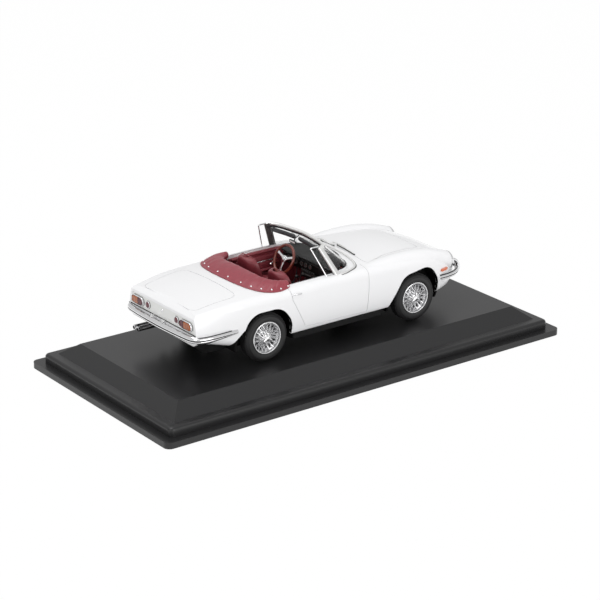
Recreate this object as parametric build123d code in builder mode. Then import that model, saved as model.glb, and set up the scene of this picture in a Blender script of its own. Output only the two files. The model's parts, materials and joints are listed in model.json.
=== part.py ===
from build123d import *

"""A 1:43 display model of an open two-seat roadster on its moulded plinth, in millimetres.

+X is the way the car faces, +Y its left side, +Z up. The origin is the centre of the plinth's
underside. The car is built in its own frame (x from the middle of the wheelbase, z from the
plinth's top) and on_plinth() puts it in place.
"""
import os
from math import atan2, cos, degrees, hypot, radians, sin, sqrt

os.makedirs("parts", exist_ok=True)

# ---------------------------------------------------------------- driving sizes: plinth
FLANGE_L, FLANGE_W, FLANGE_H = 146.3, 75.0, 1.9
STEP_MARGIN, STEP_TOP = 2.75, 4.7  # raised rim inside the flange
LEDGE_L, LEDGE_W = 134.2, 63.3  # foot of the bevel
DECK_L, DECK_W, DECK_Z = 124.6, 52.9, 8.45  # the level top that carries the car
PLINTH_WALL = 2.0
CAR_X = 2.3  # middle of the wheelbase, ahead of the plinth's centre

# ---------------------------------------------------------------- driving sizes: car
WHEELBASE = 55.8
TYRE_R, TYRE_W, TYRE_FIT = 7.5, 4.6, 0.05
RIM_R, RIM_LIP = 4.95, 0.45
WHEEL_FACE_Y = 18.6  # outer face of each tyre
AXLE_R, AXLE_PLAY = 0.6, 0.06
SKIN = 1.2  # thickness of the cast body
LINE_W, LINE_DEEP = 0.22, 0.25  # engraved panel lines
FIT = 0.1  # gap between pieces that are pushed into each other
SEAT_GAP = 0.05  # gap of parts that are glued on
SILL_Z = 7.0  # lower edge of the white body between the wheels
COCKPIT_HALF, COCKPIT_REAR = 15.6, -29.6
CAR_HALF = 25.0  # a little more than half the car's width, for cuts right through its side
TAIL_X, NOSE_X = -52.2, 50.2
LAMP_X, LAMP_Y, LAMP_Z, LAMP_R, LAMP_TILT = 43.1, 14.4, 15.75, 2.75, 10  # headlamps; tilt in degrees

AXLE_Z = TYRE_R + TYRE_FIT
REAR_X, FRONT_X = -WHEELBASE / 2, WHEELBASE / 2


def on_plinth(part):
    """Moves a piece from the car's frame to the model's frame."""
    return part.moved(Location((CAR_X, 0, DECK_Z)))


def save(part, name, car=True):
    """Writes one node."""
    placed = on_plinth(part) if car else part
    placed.label = name
    export_step(placed, f"parts/{name}.step")
    print(name, round(placed.volume, 2), len(placed.solids()))


# ---------------------------------------------------------------- body sections
# x: station; deck_z, deck_r: crown height and radius of the deck; half, half_z, side_r: widest
# point of the side, its height and radius; shoulder: radius between deck and side; floor_z,
# tuck: lower edge and its radius.
STATION_COLUMNS = ("x", "deck_z", "deck_r", "half", "half_z", "side_r", "shoulder", "floor_z", "tuck")
STATIONS = [
    (TAIL_X, 19.6, 180, 17.75, 12.4, 14, 1.2, 9.9, 2.2),
    (-44.0, 20.9, 150, 18.75, 13.2, 22, 2.0, 8.6, 2.6),
    (-34.0, 21.9, 120, 19.3, 13.8, 32, 2.6, 6.4, 2.4),
    (-22.0, 22.3, 100, 19.4, 14.2, 36, 2.8, 6.0, 2.2),
    (-4.0, 22.4, 105, 19.3, 14.2, 36, 2.6, 6.0, 2.2),
    (12.0, 22.2, 105, 19.3, 14.0, 34, 2.8, 6.0, 2.2),
    (26.0, 21.9, 110, 19.35, 13.8, 32, 3.2, 6.2, 2.4),
    (36.0, 20.5, 120, 18.6, 13.4, 28, 3.4, 6.8, 2.6),
    (41.5, 18.8, 110, 17.2, 12.8, 22, 3.2, 7.4, 2.8),
    (45.0, 17.0, 90, 14.9, 12.3, 17, 2.8, 8.0, 2.6),
    (48.0, 15.4, 70, 12.0, 12.0, 13, 2.2, 8.6, 2.2),
    (NOSE_X, 13.9, 60, 8.8, 11.8, 10, 1.4, 9.3, 1.6),
]


def circle_meet(c1, r1, c2, r2):
    """The outer (largest y) point at distance r1 from c1 and r2 from c2."""
    dy, dz = c2[0] - c1[0], c2[1] - c1[1]
    gap = hypot(dy, dz)
    along = (r1 * r1 - r2 * r2 + gap * gap) / (2 * gap)
    off = sqrt(r1 * r1 - along * along)
    base = (c1[0] + along * dy / gap, c1[1] + along * dz / gap)
    points = [(base[0] + s * off * dz / gap, base[1] - s * off * dy / gap) for s in (1, -1)]
    return max(points, key=lambda p: p[0])


def pushed(centre, through, radius):
    """The point on the circle round centre, on the side of through."""
    dy, dz = through[0] - centre[0], through[1] - centre[1]
    size = hypot(dy, dz)
    return (centre[0] + radius * dy / size, centre[1] + radius * dz / size)


def mid_arc(centre, start, end, radius):
    """The middle of the arc from start to end on the circle round centre."""
    return pushed(centre, ((start[0] + end[0]) / 2, (start[1] + end[1]) / 2), radius)


def section_arcs(row, inset=0.0, drop=0.0):
    """One closed cross-section as tangent arcs and its floor, inset by a wall and floor dropped."""
    size = dict(zip(STATION_COLUMNS, row))
    deck_r, side_r = size["deck_r"] - inset, size["side_r"] - inset
    shoulder, tuck = max(size["shoulder"] - inset, 0.4), size["tuck"]
    floor = size["floor_z"] + inset - drop
    deck_c = (0.0, size["deck_z"] - size["deck_r"])
    side_c = (size["half"] - size["side_r"], size["half_z"])
    shoulder_c = circle_meet(deck_c, deck_r - shoulder, side_c, side_r - shoulder)
    tuck_c = (side_c[0] + sqrt((side_r - tuck) ** 2 - (floor + tuck - side_c[1]) ** 2), floor + tuck)
    top = (0.0, deck_c[1] + deck_r)
    deck_end = pushed(deck_c, shoulder_c, deck_r)
    side_top = pushed(side_c, shoulder_c, side_r)
    side_low = pushed(side_c, tuck_c, side_r)
    floor_end = (tuck_c[0], floor)
    right = [
        (deck_end, mid_arc(shoulder_c, deck_end, side_top, shoulder), side_top),
        (side_top, mid_arc(side_c, side_top, side_low, side_r), side_low),
        (side_low, mid_arc(tuck_c, side_low, floor_end, tuck), floor_end),
    ]
    left = [tuple((-y, z) for y, z in reversed(arc)) for arc in reversed(right)]
    return [((-deck_end[0], deck_end[1]), top, deck_end), *right], left


def body_envelope(inset=0.0, drop=0.0):
    """The whole outer form of the body, or the same form one wall inside or outside it."""
    low, high = TAIL_X + inset, NOSE_X - inset
    inner = [row for row in STATIONS[1:-1] if low + 1 < row[0] < high - 0.8]
    with BuildPart() as form:
        for x, row in [(low, STATIONS[0]), *((row[0], row) for row in inner), (high, STATIONS[-1])]:
            right, left = section_arcs(row, inset, drop)
            with BuildSketch(Plane.YZ.offset(x)):
                with BuildLine():
                    for arc in right:
                        ThreePointArc(*arc)
                    Line(right[-1][-1], left[0][0])
                    for arc in left:
                        ThreePointArc(*arc)
                make_face()
        loft()
    return form.part


def crest_form(side):
    """One front wing's ridge, which ends round the headlamp."""
    # x, half-width, height of the crest, radius
    rows = [(6.0, 15.0, 20.6, 3.4), (16.0, 14.9, 21.65, 3.6), (25.0, 14.7, 22.0, 3.7),
            (34.0, 14.5, 21.2, 3.6), (39.6, LAMP_Y, 19.85, 3.3), (LAMP_X, LAMP_Y, LAMP_Z + 2.85, 2.9)]
    with BuildPart() as ridge:
        for x, y, crest, radius in rows:
            with BuildSketch(Plane.YZ.offset(x)):
                with Locations((side * y, crest - radius)):
                    Circle(radius)
        loft()
    return ridge.part


# ---------------------------------------------------------------- shared outlines
def mirrored(points):
    """Adds the points' mirror images across the car's middle, to close an outline."""
    return points + [(x, -y) for x, y in reversed(points)]


COCKPIT = mirrored([(COCKPIT_REAR, 9.0), (-27.5, 14.0), (-21.0, COCKPIT_HALF), (-1.5, COCKPIT_HALF),
                    (5.2, 13.4), (7.6, 6.0)])
COCKPIT_R = 2.5
# windscreen: half of each curve as (end, end of the straight run, middle of the corner arc, join, centre)
SCREEN_FOOT = [(-0.7, 16.9), (2.3, 16.4), (6.6, 14.2), (8.4, 8.6), (9.0, 0.0)]
SCREEN_HEAD = [(-5.2, 13.3), (-4.6, 12.9), (-3.5, 11.2), (-2.8, 8.2), (-1.8, 0.0)]
FOOT_Z, HEAD_Z = 20.0, 29.8
SIDE_LEAN = 0.55  # how much of a band's thickness shows across the car at its ends
GLASS_T = 0.5


def screen_band(inside, outside, low, high):
    """A band along the windscreen's curve between two heights, from inside to outside of its face."""
    with BuildPart() as band:
        for height in (low, high):
            share = (height - FOOT_Z) / (HEAD_Z - FOOT_Z)
            curve = [(f[0] + (h[0] - f[0]) * share, f[1] + (h[1] - f[1]) * share)
                     for f, h in zip(SCREEN_FOOT, SCREEN_HEAD)]
            with BuildSketch(Plane.XY.offset(height)):
                with BuildLine():
                    for away in (-inside, outside):
                        points = [(x + away, y + away * SIDE_LEAN * (y > 1)) for x, y in curve]
                        end, knee, middle, join, centre = points
                        for side in (1, -1):
                            Line((end[0], side * end[1]), (knee[0], side * knee[1]))
                            ThreePointArc((knee[0], side * knee[1]), (middle[0], side * middle[1]),
                                          (join[0], side * join[1]))
                        ThreePointArc(join, centre, (join[0], -join[1]))
                    for side in (1, -1):
                        end = curve[0]
                        Line((end[0] - inside, side * (end[1] - inside * SIDE_LEAN)),
                             (end[0] + outside, side * (end[1] + outside * SIDE_LEAN)))
                make_face()
        loft(ruled=True)
    return band.part


def plan_block(points, low, high, radius):
    """A vertical block with a rounded plan outline."""
    with BuildPart() as block:
        with BuildSketch(Plane.XY.offset(low)):
            Polygon(*points, align=None)
            fillet(vertices(), radius)
        extrude(amount=high - low)
    return block.part


def engraved(plane, points, radius, reach):
    """The cutter of an engraved line round an outline, as deep as the line is."""
    with BuildPart() as cutter:
        with BuildSketch(plane):
            with BuildSketch(mode=Mode.PRIVATE) as outline:
                Polygon(*points, align=None)
                fillet(outline.vertices(), radius)
            offset(outline.sketch, amount=LINE_W / 2)
            offset(outline.sketch, amount=-LINE_W / 2, mode=Mode.SUBTRACT)
        extrude(amount=reach)
        add(line_floor, mode=Mode.SUBTRACT)
    return cutter.part


# ---------------------------------------------------------------- body shell
BOOT_LID = mirrored([(-50.6, 13.2), (-35.3, 14.2)])
BONNET = mirrored([(11.6, 14.6), (20.0, 12.2), (28.0, 11.4), (35.0, 10.4)])
DOOR = [(9.4, 23.0), (8.7, 7.7), (-14.4, 8.2), (-19.2, 17.5), (-19.9, 23.0)]
# wheel arches: outline and the radius of its upper corners
FRONT_ARCH = [(16.7, 3.0), (16.9, 6.9), (22.6, 16.0), (33.2, 17.3), (36.8, 12.0), (36.9, 3.0)]
REAR_ARCH = [(-37.6, 3.0), (-36.4, 11.5), (-34.4, 16.3), (-23.0, 16.3), (-19.3, 11.2), (-19.3, 3.0)]
REAR_FOOT = [(-44.0, 5.0), (-36.4, 12.0), (-34.0, 12.0), (-34.0, 5.0)]  # where the arch runs out behind the tyre
ARCHES = ((FRONT_ARCH, 5.0), (REAR_ARCH, 6.0))
ARCH_FOOT = 7.5  # the corners below this height stay sharp
CORE_DROP = 6.0  # how far the hollow inside runs out below the body

outer = body_envelope()
core = body_envelope(SKIN, CORE_DROP)
line_floor = body_envelope(LINE_DEEP)

MOUTH_HALF, MOUTH_LOW, MOUTH_HIGH, MOUTH_R = 8.0, 9.9, 13.4, 1.4
POST_R, POSTS = 2.2, [(-42.5, 20.2), (39.8, 18.6)]
SCREW_R, SCREW_FIT = 0.8, 0.05
TAIL_PANEL = [(-15.9, 17.3), (15.9, 17.3), (17.5, 13.25), (-17.5, 13.25)]
TAIL_DEEP = 0.6
SILL_HALF = 40.0  # the lower edge is cut level over this half-length
# rounded rear edge of the deck, as seen from the side
TAIL_EDGE = [(-53.0, 16.9), (-51.4, 18.9), (-48.6, 20.35)]
TAIL_ROOM = 24.0  # height above everything there


def lamp_plane(side, ahead=0.0):
    """The headlamp's own plane, facing forwards and a little up."""
    tilt = radians(LAMP_TILT)
    return Plane(
        origin=(LAMP_X + ahead * cos(tilt), side * LAMP_Y, LAMP_Z + ahead * sin(tilt)),
        x_dir=(0, 1, 0),
        z_dir=(cos(tilt), 0, sin(tilt)),
    )


with BuildPart() as body_shell:
    add(outer)
    for side in (1, -1):
        add(crest_form(side))
    add(core, mode=Mode.SUBTRACT)
    # rounded rear edge of the deck
    with BuildSketch(Plane.XZ.offset(-CAR_HALF)):
        with BuildLine():
            ThreePointArc(*TAIL_EDGE)
            Polyline(TAIL_EDGE[2], (TAIL_EDGE[2][0], TAIL_ROOM), (TAIL_EDGE[0][0], TAIL_ROOM), TAIL_EDGE[0])
        make_face()
    extrude(amount=2 * CAR_HALF, mode=Mode.SUBTRACT)
    # screw posts under the boot and the bonnet
    for x, top in POSTS:
        with BuildSketch(Plane.XY.offset(SILL_Z)):
            with Locations((x, 0)):
                Circle(POST_R)
                Circle(SCREW_R + SCREW_FIT, mode=Mode.SUBTRACT)
        extrude(amount=top - SILL_Z)
    # flat lower edge between the bumpers
    with BuildSketch(Plane.XY):
        Rectangle(2 * SILL_HALF, 2 * CAR_HALF)
    extrude(amount=SILL_Z, mode=Mode.SUBTRACT)
    # cockpit
    add(plan_block(COCKPIT, 15, 26, COCKPIT_R), mode=Mode.SUBTRACT)
    # wheel arches
    for outline, radius in ARCHES:
        with BuildSketch(Plane.XZ.offset(-CAR_HALF)):
            Polygon(*outline, align=None)
            fillet([v for v in vertices() if v.Y > ARCH_FOOT], radius)
        extrude(amount=2 * CAR_HALF, mode=Mode.SUBTRACT)
    with BuildSketch(Plane.XZ.offset(-CAR_HALF)):
        Polygon(*REAR_FOOT, align=None)
    extrude(amount=2 * CAR_HALF, mode=Mode.SUBTRACT)
    # headlamp sockets, mouth and the recess of the tail panel
    for side in (1, -1):
        with BuildSketch(lamp_plane(side)):
            Circle(LAMP_R + SEAT_GAP)
        extrude(amount=8, mode=Mode.SUBTRACT)
    with BuildSketch(Plane.YZ.offset(46)):
        with Locations((0, (MOUTH_LOW + MOUTH_HIGH) / 2)):
            RectangleRounded(2 * MOUTH_HALF, MOUTH_HIGH - MOUTH_LOW, MOUTH_R)
    extrude(amount=8, mode=Mode.SUBTRACT)
    with BuildSketch(Plane.YZ.offset(TAIL_X)):
        Polygon(*TAIL_PANEL, align=None)
    extrude(amount=TAIL_DEEP, mode=Mode.SUBTRACT)
    # engraved panel lines of the boot lid, bonnet and doors
    for outline, radius in ((BOOT_LID, 2.5), (BONNET, 1.5)):
        add(engraved(Plane.XY.offset(15), outline, radius, 10), mode=Mode.SUBTRACT)
    for side in (1, -1):
        add(engraved(Plane.XZ.offset(-side * 14), DOOR, 0.4, -side * 8), mode=Mode.SUBTRACT)
save(body_shell.part, "body_shell")

# ---------------------------------------------------------------- plinth
FEET = (-14.0, 12.0)  # where the two screws go through the plinth into the chassis
FOOT_R = 2.4
BOSS_R, BOSS_DEEP = 3.4, 2.5
PLATE_LOW, PLATE_TOP = 4.8, SILL_Z
CAVITY_L, CAVITY_W = FLANGE_L - 9.5, FLANGE_W - 9.0
FLANGE_R, STEP_R, STEP_ROUND = 2.0, 1.5, 1.0

with BuildPart() as plinth:
    with BuildSketch():
        RectangleRounded(FLANGE_L, FLANGE_W, FLANGE_R)
    extrude(amount=FLANGE_H)
    with BuildSketch(Plane.XY.offset(FLANGE_H)):
        RectangleRounded(FLANGE_L - 2 * STEP_MARGIN, FLANGE_W - 2 * STEP_MARGIN, STEP_R)
    extrude(amount=STEP_TOP - FLANGE_H)
    fillet(edges().group_by(Axis.Z)[-1], STEP_ROUND)
    with BuildSketch(Plane.XY.offset(STEP_TOP)):
        Rectangle(LEDGE_L, LEDGE_W)
    with BuildSketch(Plane.XY.offset(DECK_Z)):
        Rectangle(DECK_L, DECK_W)
    loft()
    with BuildSketch():
        Rectangle(CAVITY_L, CAVITY_W)
    extrude(amount=STEP_TOP - PLINTH_WALL, mode=Mode.SUBTRACT)
    with BuildSketch(Plane.XY.offset(STEP_TOP - PLINTH_WALL)):
        Rectangle(LEDGE_L - 2 * PLINTH_WALL, LEDGE_W - 2 * PLINTH_WALL)
    with BuildSketch(Plane.XY.offset(DECK_Z - PLINTH_WALL)):
        Rectangle(DECK_L - 2 * PLINTH_WALL, DECK_W - 2 * PLINTH_WALL)
    loft(mode=Mode.SUBTRACT)
    # screw bosses and their holes
    with BuildSketch(Plane.XY.offset(DECK_Z - PLINTH_WALL)):
        with Locations(*[(CAR_X + x, 0) for x in FEET]):
            Circle(BOSS_R)
    extrude(amount=-BOSS_DEEP)
    with BuildSketch():
        with Locations(*[(CAR_X + x, 0) for x in FEET]):
            Circle(SCREW_R + SCREW_FIT)
    extrude(amount=DECK_Z, mode=Mode.SUBTRACT)
save(plinth.part, "display_plinth", car=False)

HEAD_R, HEAD_H, HEAD_ROUND = 1.6, 1.0, 0.4
SLOT_L, SLOT_W, SLOT_DEEP = 1.5, 0.35, 0.5


def screw(x, low, top):
    """A pan-head screw that points upwards, from under its head to its tip."""
    with BuildPart() as part:
        with BuildSketch(Plane.XY.offset(low)):
            with Locations((x, 0)):
                Circle(HEAD_R)
        extrude(amount=-HEAD_H)
        fillet(part.edges().group_by(Axis.Z)[0], HEAD_ROUND)
        with BuildSketch(Plane.XY.offset(low)):
            with Locations((x, 0)):
                Circle(SCREW_R)
        extrude(amount=top - low)
        with BuildSketch(Plane.XY.offset(low - HEAD_H)):
            with Locations((x, 0)):
                Rectangle(SLOT_L, SLOT_W)
                Rectangle(SLOT_W, SLOT_L)
        extrude(amount=SLOT_DEEP, mode=Mode.SUBTRACT)
    return part.part


def save_group(solids, name):
    """Writes one node that holds several solids which do not touch."""
    save(Compound(children=list(solids)), name)


boss_low = -PLINTH_WALL - BOSS_DEEP  # underside of the bosses, below the deck
PLATE_SKIN = 0.6  # plastic left over the tips of the plinth's screws
save_group([screw(x, boss_low, PLATE_TOP - PLATE_SKIN) for x in FEET], "plinth_screws")
save_group([screw(x, PLATE_LOW, SILL_Z + 5) for x, _ in POSTS], "body_screws")

# ---------------------------------------------------------------- chassis
BEARING_YS = (-10.5, 10.5)
PAN_HALF, NECK_HALF = 17.8, 12.0
WELL_R, WELL_T, WELL_HALF = 9.9, 0.6, 17.7
PIPE_Y, PIPE_Z, PIPE_R, PIPE_BORE = (12.1, 13.95), 6.6, 0.8, 0.55
PIPE_TIP, PIPE_ROOT, BORE_DEEP = -53.4, -41.5, 3.0
housing_room = body_envelope(SKIN + FIT, CORE_DROP)
PAN_X, PAN_L, PAN_R = -1.3, 33.6, 0.8  # floor pan between the wheels
NECK_L, NECK_R = 88.0, 3.0
BEARING_L, BEARING_W, BEARING_OVER = 5.0, 3.0, 1.6
HANGER_X, HANGER_L, HANGER_W = -43.0, 2.0, 4.0
SUMP_X, SILENCER_X, SILENCER_Y, CAST_DEEP = 24.0, -36.5, 7.0, 1.4


def wheel_housing(x, side):
    """The half-drum over one wheel, open outwards and downwards."""
    with BuildPart() as drum:
        with BuildSketch(Plane.XZ.offset(-side * NECK_HALF)):
            with Locations((x, AXLE_Z)):
                Circle(WELL_R + WELL_T)
        extrude(amount=-side * (WELL_HALF - NECK_HALF))
        with BuildSketch(Plane.XZ.offset(-side * (NECK_HALF + WELL_T))):
            with Locations((x, AXLE_Z)):
                Circle(WELL_R)
        extrude(amount=-side * 10, mode=Mode.SUBTRACT)
        with BuildSketch():
            with Locations((x, 0)):
                Rectangle(4 * WELL_R, 2 * CAR_HALF)
        extrude(amount=PLATE_LOW, both=True, mode=Mode.SUBTRACT)
        add(housing_room, mode=Mode.INTERSECT)
    return drum.part


with BuildPart() as chassis:
    with BuildSketch(Plane.XY.offset(PLATE_LOW)):
        with Locations((PAN_X, 0)):
            RectangleRounded(PAN_L, 2 * PAN_HALF, PAN_R)
            RectangleRounded(NECK_L, 2 * NECK_HALF, NECK_R)
    extrude(amount=PLATE_TOP - PLATE_LOW)
    # bearing blocks
    with BuildSketch(Plane.XY.offset(PLATE_TOP)):
        with Locations(*[(x, y) for x in (REAR_X, FRONT_X) for y in BEARING_YS]):
            Rectangle(BEARING_L, BEARING_W)
    extrude(amount=AXLE_Z + BEARING_OVER - PLATE_TOP)
    with BuildSketch(Plane.XY):
        with Locations(*[(x, 0) for x in FEET]):
            Circle(FOOT_R)
    extrude(amount=PLATE_LOW)
    for x in (REAR_X, FRONT_X):
        for side in (1, -1):
            add(wheel_housing(x, side))
    # exhaust hanger
    with BuildSketch(Plane.XY.offset(PLATE_LOW + 0.2)):
        with Locations((HANGER_X, sum(PIPE_Y) / 2)):
            Rectangle(HANGER_L, HANGER_W)
    extrude(amount=PLATE_TOP - PLATE_LOW - 0.2)
    # sump and silencer box moulded on the underside
    with BuildSketch(Plane.XY.offset(PLATE_LOW)):
        with Locations((SUMP_X, 0)):
            RectangleRounded(14, 9, 1.5)
        with Locations((SILENCER_X, SILENCER_Y)):
            RectangleRounded(7, 9, 1.5)
    extrude(amount=-CAST_DEEP)
    with BuildSketch(Plane.XY):
        with Locations(*[(x, 0) for x in FEET]):
            Circle(SCREW_R + SCREW_FIT)
    extrude(amount=PLATE_TOP - PLATE_SKIN, mode=Mode.SUBTRACT)
    with BuildSketch(Plane.XY):
        with Locations(*[(x, 0) for x, _ in POSTS]):
            Circle(SCREW_R + SCREW_FIT)
    extrude(amount=PLATE_TOP, mode=Mode.SUBTRACT)
    for x in (REAR_X, FRONT_X):
        with BuildSketch(Plane.XZ.offset(-CAR_HALF)):
            with Locations((x, AXLE_Z)):
                Circle(AXLE_R + AXLE_PLAY)
        extrude(amount=2 * CAR_HALF, mode=Mode.SUBTRACT)
    with BuildSketch(Plane.YZ.offset(PIPE_TIP)):
        with Locations(*[(y, PIPE_Z) for y in PIPE_Y]):
            Circle(PIPE_R)
    extrude(amount=PIPE_ROOT - PIPE_TIP, mode=Mode.SUBTRACT)
save(chassis.part, "chassis_base")

pipes = []
for y in PIPE_Y:
    with BuildPart() as pipe:
        with BuildSketch(Plane.YZ.offset(PIPE_TIP)):
            with Locations((y, PIPE_Z)):
                Circle(PIPE_R)
        extrude(amount=PIPE_ROOT - PIPE_TIP)
        with BuildSketch(Plane.YZ.offset(PIPE_TIP)):
            with Locations((y, PIPE_Z)):
                Circle(PIPE_BORE)
        extrude(amount=BORE_DEEP, mode=Mode.SUBTRACT)
    pipes.append(pipe.part)
save_group(pipes, "exhaust_pipes")

# ---------------------------------------------------------------- wheels
HUB_R = 1.15
SPOKE_GAPS = 20
LIP_IN = 0.3  # the rim, hub and axle end this far inside the tyre's outer face
# depth runs along -Y from the tyre's outer face, which faces +Y
with BuildPart() as tyre:
    with BuildSketch(Plane.YZ):
        with BuildLine():
            Polyline((0.35 - TYRE_W, RIM_R), (-0.35, RIM_R))
            ThreePointArc((-0.35, RIM_R), (0.0, 6.1), (-0.55, 7.05))
            ThreePointArc((-0.55, 7.05), (-0.8, 7.36), (-1.2, TYRE_R))
            Line((-1.2, TYRE_R), (1.2 - TYRE_W, TYRE_R))
            ThreePointArc((1.2 - TYRE_W, TYRE_R), (0.8 - TYRE_W, 7.36), (0.55 - TYRE_W, 7.05))
            ThreePointArc((0.55 - TYRE_W, 7.05), (-TYRE_W, 6.1), (0.35 - TYRE_W, RIM_R))
        make_face()
    revolve(axis=Axis.Y)
with BuildPart() as rim:
    with BuildSketch(Plane.YZ):
        Polygon((-LIP_IN, RIM_R), (-LIP_IN, RIM_R - RIM_LIP), (-1.0, RIM_R - RIM_LIP), (-1.6, RIM_R - 0.9),
                (-2.5, RIM_R - 0.9), (-0.75, HUB_R + 0.2), (-LIP_IN, HUB_R), (-LIP_IN, AXLE_R), (-3.6, AXLE_R),
                (-3.6, HUB_R), (-1.6, HUB_R + 0.3), (-3.2, RIM_R - 0.9), (-4.2, RIM_R - 0.9), (-4.3, RIM_R),
                align=None)
    revolve(axis=Axis.Y)
    with BuildSketch(Plane.XZ):
        with PolarLocations(0, SPOKE_GAPS):
            with Locations((2.75, 0)):
                Trapezoid(0.8, 2.1, 84, rotation=90)
    extrude(amount=10, mode=Mode.SUBTRACT)
with BuildPart() as spinner:
    with BuildSketch(Plane.YZ):
        Polygon((-LIP_IN, 0), (-LIP_IN, HUB_R), (0.1, HUB_R - 0.15), (0.4, 0.5), (0.4, 0), align=None)
    revolve(axis=Axis.Y)
    with BuildSketch(Plane.XZ):
        with PolarLocations(0, 3):
            with Locations((0.9, 0)):
                SlotOverall(1.3, 0.55)
    extrude(amount=-0.35)
for end, x in (("front", FRONT_X), ("rear", REAR_X)):
    for side, hand in ((1, "left"), (-1, "right")):
        for piece, name in ((tyre, "tyre"), (rim, "wire_wheel"), (spinner, "wheel_spinner")):
            turned = piece.part if side > 0 else piece.part.rotate(Axis.Z, 180)
            placed = turned.moved(Location((x, side * WHEEL_FACE_Y, AXLE_Z)))
            save(placed, f"{name}_{end}_{hand}")
    with BuildPart() as axle:
        with BuildSketch(Plane.XZ.offset(-(WHEEL_FACE_Y - LIP_IN))):
            with Locations((x, AXLE_Z)):
                Circle(AXLE_R)
        extrude(amount=2 * (WHEEL_FACE_Y - LIP_IN))
    save(axle.part, f"{end}_axle")

# ---------------------------------------------------------------- interior
TUB_T, TUB_FLOOR, TUB_TOP = 0.7, 8.0, 20.2
TUB_REAR, TUB_FRONT = -22.3, 5.4
TUB_LOW = PLATE_TOP + 0.02  # the tub stands on the floor pan
TUNNEL_HALF, TUNNEL_Z = 2.0, 11.6
TUB = mirrored([(TUB_REAR, 14.6), (-21.0, COCKPIT_HALF - FIT), (-1.5, COCKPIT_HALF - FIT), (TUB_FRONT, 13.2)])
TUB_R = 0.6


def well_block():
    """The room that the wheel housings take, with a small clearance."""
    with BuildPart() as block:
        for side in (1, -1):
            with BuildSketch(Plane.XZ.offset(-side * (NECK_HALF - FIT))):
                with Locations((REAR_X, AXLE_Z)):
                    Circle(WELL_R + WELL_T + FIT)
            extrude(amount=-side * (WELL_HALF - NECK_HALF + FIT))
    return block.part


with BuildPart() as interior_tub:
    add(plan_block(TUB, TUB_LOW, TUB_TOP, TUB_R))
    tub_middle = (TUB_REAR + TUB_FRONT) / 2
    with BuildSketch(Plane.XY.offset(TUB_FLOOR)):
        with BuildSketch(mode=Mode.PRIVATE) as tub_plan:
            Polygon(*TUB, align=None)
        offset(tub_plan.sketch, amount=-TUB_T, kind=Kind.INTERSECTION)
        with Locations((tub_middle, 0)):
            Rectangle(TUB_FRONT - TUB_REAR, 2 * TUNNEL_HALF, mode=Mode.SUBTRACT)
    extrude(amount=TUB_TOP - TUB_FLOOR, mode=Mode.SUBTRACT)
    with BuildSketch(Plane.XY.offset(TUNNEL_Z)):
        with Locations((tub_middle, 0)):
            Rectangle(TUB_FRONT - TUB_REAR - 2 * TUB_T, 2 * TUNNEL_HALF + FIT)
    extrude(amount=TUB_TOP - TUNNEL_Z, mode=Mode.SUBTRACT)
    add(well_block(), mode=Mode.SUBTRACT)
save(interior_tub.part, "interior_tub")

SEAT_Y, SEAT_HALF, SEAT_R = 7.9, 5.2, 3.0
RAIL_X, RAIL_L, RAIL_Y, RAIL_H = -11.0, 9.0, 3.0, 1.5
# side view of one seat, from the rear of the cushion round to the back of the backrest
SEAT_PROFILE = [(-16.4, 9.0), (-5.6, 9.0), (-4.6, 13.2), (-8.0, 13.4), (-14.2, 12.2), (-17.2, 23.2), (-19.0, 22.9)]
SEAT_EDGE = 0.9
for side, hand in ((1, "left"), (-1, "right")):
    with BuildPart() as seat:
        with BuildSketch(Plane.XZ.offset(-side * SEAT_Y - SEAT_HALF)):
            Polygon(*SEAT_PROFILE, align=None)
            fillet(vertices(), SEAT_EDGE)
        extrude(amount=2 * SEAT_HALF)
        # rounded upper corners of the backrest
        seat_low, seat_high = SEAT_PROFILE[0][1], SEAT_PROFILE[5][1]
        with BuildSketch(Plane.YZ.offset(SEAT_PROFILE[-1][0])):
            with Locations((side * SEAT_Y, seat_high - SEAT_HALF)):
                RectangleRounded(2 * SEAT_HALF, 2 * SEAT_HALF, SEAT_R)
            with Locations((side * SEAT_Y, seat_low)):
                Rectangle(2 * SEAT_HALF, 2 * (seat_high - seat_low - SEAT_HALF))
        extrude(amount=SEAT_PROFILE[2][0] - SEAT_PROFILE[-1][0], mode=Mode.INTERSECT)
        # seat rails
        with BuildSketch(Plane.XY.offset(TUB_FLOOR)):
            with Locations((RAIL_X, side * SEAT_Y - RAIL_Y), (RAIL_X, side * SEAT_Y + RAIL_Y)):
                Rectangle(RAIL_L, 1)
        extrude(amount=RAIL_H)
    save(seat.part, f"seat_{hand}")

TRIM_T, TRIM_X, TRIM_L, TRIM_LOW = 0.5, -6.9, 18.4, 9.0
ARMREST_L, ARMREST_W, ARMREST_Z, ARMREST_H = 6.5, 1.0, 14.0, 1.0
TRIM_FACE = COCKPIT_HALF - FIT - TUB_T  # the tub's inner face, which carries the door trim
for side, hand in ((1, "left"), (-1, "right")):
    with BuildPart() as trim:
        with BuildSketch(Plane.XY.offset(TRIM_LOW)):
            with Locations((TRIM_X, side * (TRIM_FACE - TRIM_T / 2))):
                Rectangle(TRIM_L, TRIM_T)
        extrude(amount=TUB_TOP - 0.2 - TRIM_LOW)
        with BuildSketch(Plane.XY.offset(ARMREST_Z)):
            with Locations((TRIM_X, side * (TRIM_FACE - TRIM_T - ARMREST_W / 2))):
                RectangleRounded(ARMREST_L, ARMREST_W, 0.3)
        extrude(amount=ARMREST_H)
        add(interior_tub.part, mode=Mode.SUBTRACT)
    save(trim.part.solids().sort_by(SortBy.VOLUME)[-1], f"door_trim_{hand}")

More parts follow.
